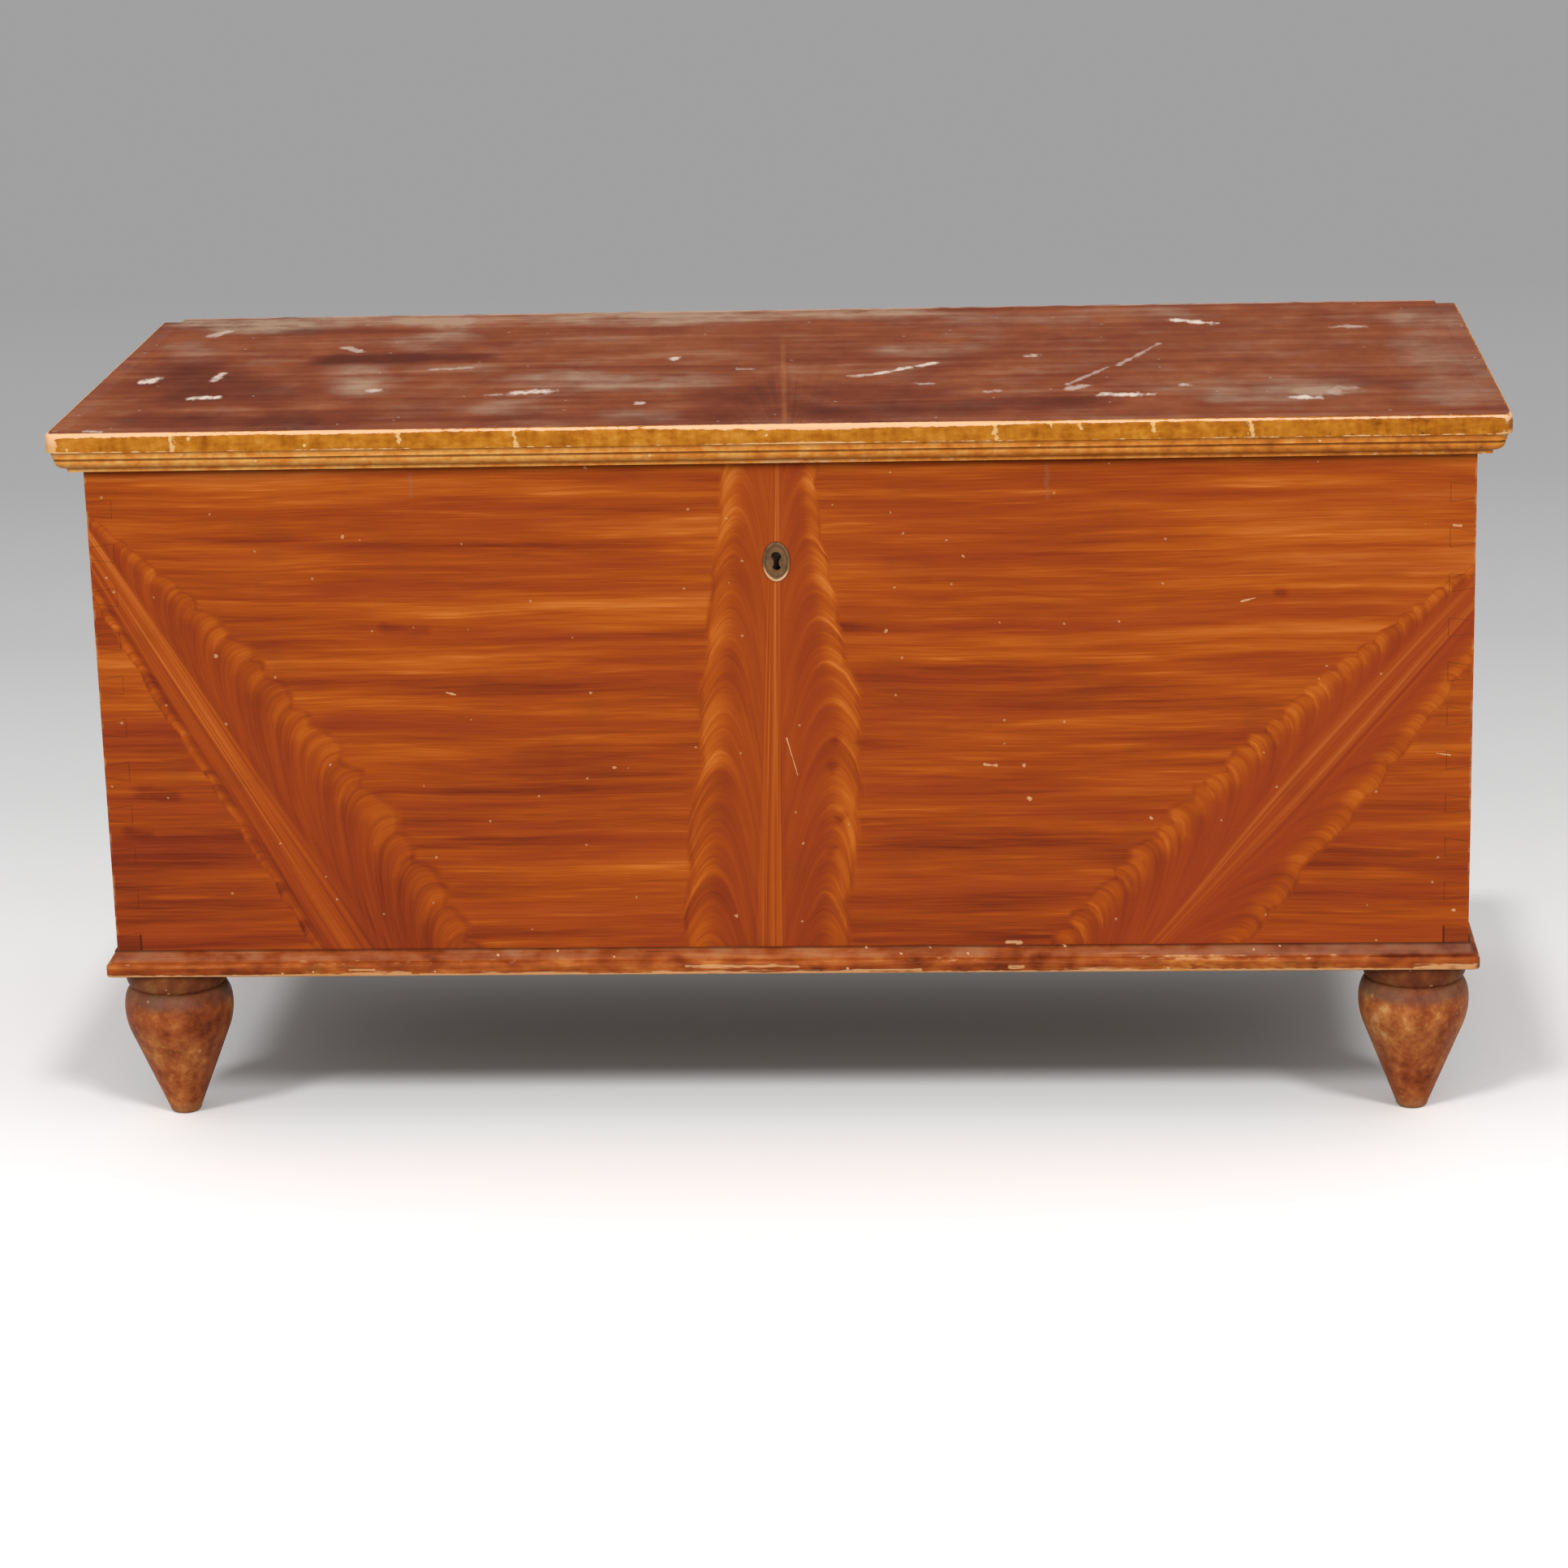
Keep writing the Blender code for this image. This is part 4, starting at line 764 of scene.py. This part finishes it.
# Hinges, lock and strike: forged and filed iron, gone brown and rusty in the corners.
# They are let in flush and held with slotted screws, whose heads are rubbed brighter.
def aged_iron(name, shine):
    """Iron browned by age, brighter by a shine."""
    made, _, x, _, _ = start_finish(name)
    rust = x.cloud((9, 9, 9), detail=5.0, roughness=0.6)
    pits = x.cloud((1.6, 1.6, 1.6))
    colour = rust + (pits - 0.5) * 0.3
    colour = colour.ramp((0.0, 56, 49, 44), (0.45, 88, 78, 70), (0.62, 112, 80, 60), (1.0, 140, 86, 54))
    bright = pits.rise(0.3, 0.6) * shine
    colour = bright.over(colour, srgb(176, 168, 158))
    height = rust * 0.7 + pits * 0.5
    end_finish(made, colour, 0.42 + (rust - 0.4) * 0.8, height, 0.00015, specular=0.5, metallic=0.5)
    return made


plate_iron = aged_iron("aged_iron", 0.0)
screw_iron = aged_iron("rubbed_iron", 0.45)
for name in nodes:
    if name.startswith(("hinge_", "lock_", "strike_")):
        dress(name, screw_iron if "_screw_" in name else plate_iron)


# Escutcheon: a small cast brass oval round the keyhole, with a raised rim about a flat field.
# It is set on the front board's face, and has dulled to olive brown, with a painted highlight at its
# rim's foot.
brass, _, x, _, z = start_finish("dull_brass")
plate_low, plate_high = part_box("escutcheon")
half_width, half_height = (plate_high[0] - plate_low[0]) / 2, (plate_high[2] - plate_low[2]) / 2
plate_back, proud = plate_high[1], plate_high[1] - plate_low[1]
key_z = (plate_low[2] + plate_high[2]) / 2
across, rise = x / (half_width * 1000), (z - key_z * 1000) / (half_height * 1000)
from_key = (across * across + rise * rise).math("SQRT")
tarnish = x.cloud((6, 6, 6), detail=5.0)
spots = x.cloud((1.6, 1.6, 1.6), detail=3.0)
# Painted highlight: the lower part of the rim is brightened, over the tarnish's patches.
wear_and_highlight = from_key.rise(0.80, 0.93) * (1 - rise.rise(-0.9, 0.1))
wear_and_highlight = wear_and_highlight + (tarnish - 0.5) * 0.9 + (spots - 0.5) * 0.4 + 0.23
colour = wear_and_highlight.ramp((0.0, 80, 52, 30), (0.5, 132, 94, 54), (1.0, 222, 176, 130))
# Dark rings: dirt in the crease inside the rim, and painted shade round the rim's outer edge.
dirt_and_painted_shade = (1 - abs(from_key - 0.78).rise(0.02, 0.10)) * 0.5 + from_key.rise(0.95, 1.0) * 0.6
colour = dirt_and_painted_shade.over(colour, srgb(74, 42, 22))
sheen = 0.42 + (tarnish - 0.5) * 0.5
end_finish(brass, colour, sheen, tarnish + spots * 0.4, 0.00012, specular=0.4, metallic=0.35)
head_radius, waist, flare, half_key = 0.0044, 0.0024, 0.0039, 0.0089
lean = math.degrees(math.acos(waist / head_radius))
keyhole = arc((0, half_key - head_radius), (head_radius, head_radius), -lean, 180 + lean, 28)
keyhole += [(-waist, -half_key / 3), (-flare, flare - half_key)]
keyhole += arc((0, flare - half_key), (flare, flare), 200, 340, 14)
keyhole += [(flare, flare - half_key), (waist, -half_key / 3)]


def grow_edges(bm, edges):
    """Extrude edges, and give the new vertices and the edges between them."""
    grown = bmesh.ops.extrude_edge_only(bm, edges=edges)["geom"]
    verts = [item for item in grown if isinstance(item, bmesh.types.BMVert)]
    new_edges = [item for item in grown if isinstance(item, bmesh.types.BMEdge)]
    return verts, [edge for edge in new_edges if set(edge.verts) <= set(verts)]


bm = bmesh.new()
field = 0.62 * proud
hole = [bm.verts.new((side, -field, up)) for side, up in keyhole]
hole_edges = [bm.edges.new((hole[i - 1], hole[i])) for i in range(len(hole))]
oval = bmesh.ops.create_circle(bm, segments=96, radius=1.0)["verts"]
size, level = 0.76, field
bmesh.ops.rotate(bm, matrix=Matrix.Rotation(math.pi / 2, 3, "X"), verts=oval)
bmesh.ops.scale(bm, vec=(half_width * size, 1, half_height * size), verts=oval)
bmesh.ops.translate(bm, vec=(0, -level, 0), verts=oval)
rim = list(dict.fromkeys(edge for vert in oval for edge in vert.link_edges))
bmesh.ops.triangle_fill(bm, use_beauty=True, edges=hole_edges + rim)
for next_size, next_level in ((0.80, field), (0.83, 0.84 * proud), (0.87, 0.97 * proud), (0.91, proud),
                              (0.95, 0.95 * proud), (0.98, 0.76 * proud), (1.0, 0.4 * proud), (1.0, 0.0)):
    oval, rim = grow_edges(bm, rim)
    bmesh.ops.scale(bm, vec=(next_size / size, 1, next_size / size), verts=oval)
    bmesh.ops.translate(bm, vec=(0, level - next_level, 0), verts=oval)
    size, level = next_size, next_level
hole, hole_edges = grow_edges(bm, hole_edges)
bmesh.ops.translate(bm, vec=(0, field, 0), verts=hole)
bmesh.ops.triangle_fill(bm, use_beauty=True, edges=hole_edges + rim)
bmesh.ops.recalc_face_normals(bm, faces=bm.faces)
bmesh.ops.translate(bm, vec=(0, plate_back, key_z), verts=bm.verts)
set_piece(bm, "escutcheon_plate", brass, "case", "escutcheon")


# Studio: a pale floor that runs back into grey, under soft light from all round. Two lamps in front light
# the chest alone. Two more light the floor alone, where only the low pieces cast a shadow.
floor_mesh = bpy.data.meshes.new("floor")
bm = bmesh.new()
floor_reach = 30.0
bmesh.ops.create_grid(bm, x_segments=1, y_segments=1, size=floor_reach)
bm.to_mesh(floor_mesh)
bm.free()
floor = bpy.data.objects.new("floor", floor_mesh)
bpy.context.collection.objects.link(floor)
floor_finish, _, _, y, _ = start_finish("pale_floor")
pale_to, grey_from = -500, 4200
far = (y - pale_to) / (grey_from - pale_to)
greys = ((0.0, 1.22), (0.046, 1.10), (0.121, 0.98), (0.199, 0.83), (0.277, 0.70), (0.427, 0.54),
         (0.639, 0.419), (1.0, 0.367))
stops = [(back, (grey, grey, grey, 1.0)) for back, grey in greys]
pale = far.node("ValToRGB", {"stops": stops}, {0: far})
path = far.node("LightPath")
seen = path.math("MAXIMUM", Shade(path.tree, path.socket.node.outputs["Is Glossy Ray"]))
seen = seen.math("MAXIMUM", Shade(path.tree, path.socket.node.outputs["Is Transmission Ray"]))
shown = seen.over((0.30, 0.30, 0.30, 1.0), pale)
matte = far.node("BsdfDiffuse", inputs={"Color": shown})
far.node("OutputMaterial", inputs={"Surface": matte})
floor_mesh.materials.append(floor_finish)

world = bpy.data.worlds.new("studio")
world.use_nodes = True
sky = Shade(world.node_tree, None)
sky = sky.node("SeparateXYZ", inputs={0: sky.node("TexCoord", output="Generated")}, output=2)
stops = ((0.0, (0.2, 0.2, 0.2, 1.0)), (0.5, (1.0, 1.0, 1.0, 1.0)))
soft = sky.node("ValToRGB", {"stops": stops}, {0: sky})
world.node_tree.links.new(soft.socket, world.node_tree.nodes["Background"].inputs["Color"])
sky_strength = 0.59
world.node_tree.nodes["Background"].inputs["Strength"].default_value = sky_strength
bpy.context.scene.world = world

floor_only = bpy.data.collections.new("floor_only")
floor_only.objects.link(floor)
low_pieces = bpy.data.collections.new("low_pieces")
for piece in bpy.context.scene.objects:
    if piece.name.startswith(("turned_foot", "base_moulding", "bottom_board")):
        low_pieces.objects.link(piece)
all_but_floor = bpy.data.collections.new("all_but_floor")
all_but_floor.objects.link(floor)
all_but_floor.collection_objects[0].light_linking.link_state = "EXCLUDE"
for name, height, bearing, power, angle, lit, blocked_by in (
        ("floor_left", 43, -35, 0.96, 12, floor_only, low_pieces),
        ("floor_right", 43, 35, 0.96, 12, floor_only, low_pieces),
        ("front_left", 29, -28, 1.30, 24, all_but_floor, None),
        ("front_right", 25, 22, 1.30, 24, all_but_floor, None)):
    light = bpy.data.lights.new(name, "SUN")
    light.energy = power
    light.angle = math.radians(angle)
    sun = bpy.data.objects.new(name, light)
    bpy.context.collection.objects.link(sun)
    sun.rotation_euler = (math.radians(90 - height), 0, math.radians(bearing))
    sun.light_linking.receiver_collection = lit
    sun.light_linking.blocker_collection = blocked_by


# Camera: a long lens above the lid's height, four metres in front and a little right of the middle.
# It looks down on the lid and is rolled slightly.
eye, lens = (0.24012, -3.97665, 1.40773), 100.545
dip, roll, yaw = math.radians(16.2388), math.radians(-1.5213), math.radians(3.665)
camera_data = bpy.data.cameras.new("camera")
camera_data.sensor_width = 36.0
camera_data.lens = lens
camera = bpy.data.objects.new("camera", camera_data)
bpy.context.collection.objects.link(camera)
turn = Matrix.Rotation(yaw, 4, "Z") @ Matrix.Rotation(math.pi / 2 - dip, 4, "X")
camera.matrix_world = Matrix.Translation(eye) @ turn @ Matrix.Rotation(roll, 4, "Z")
bpy.context.scene.camera = camera
bpy.context.scene.view_settings.view_transform = "Standard"
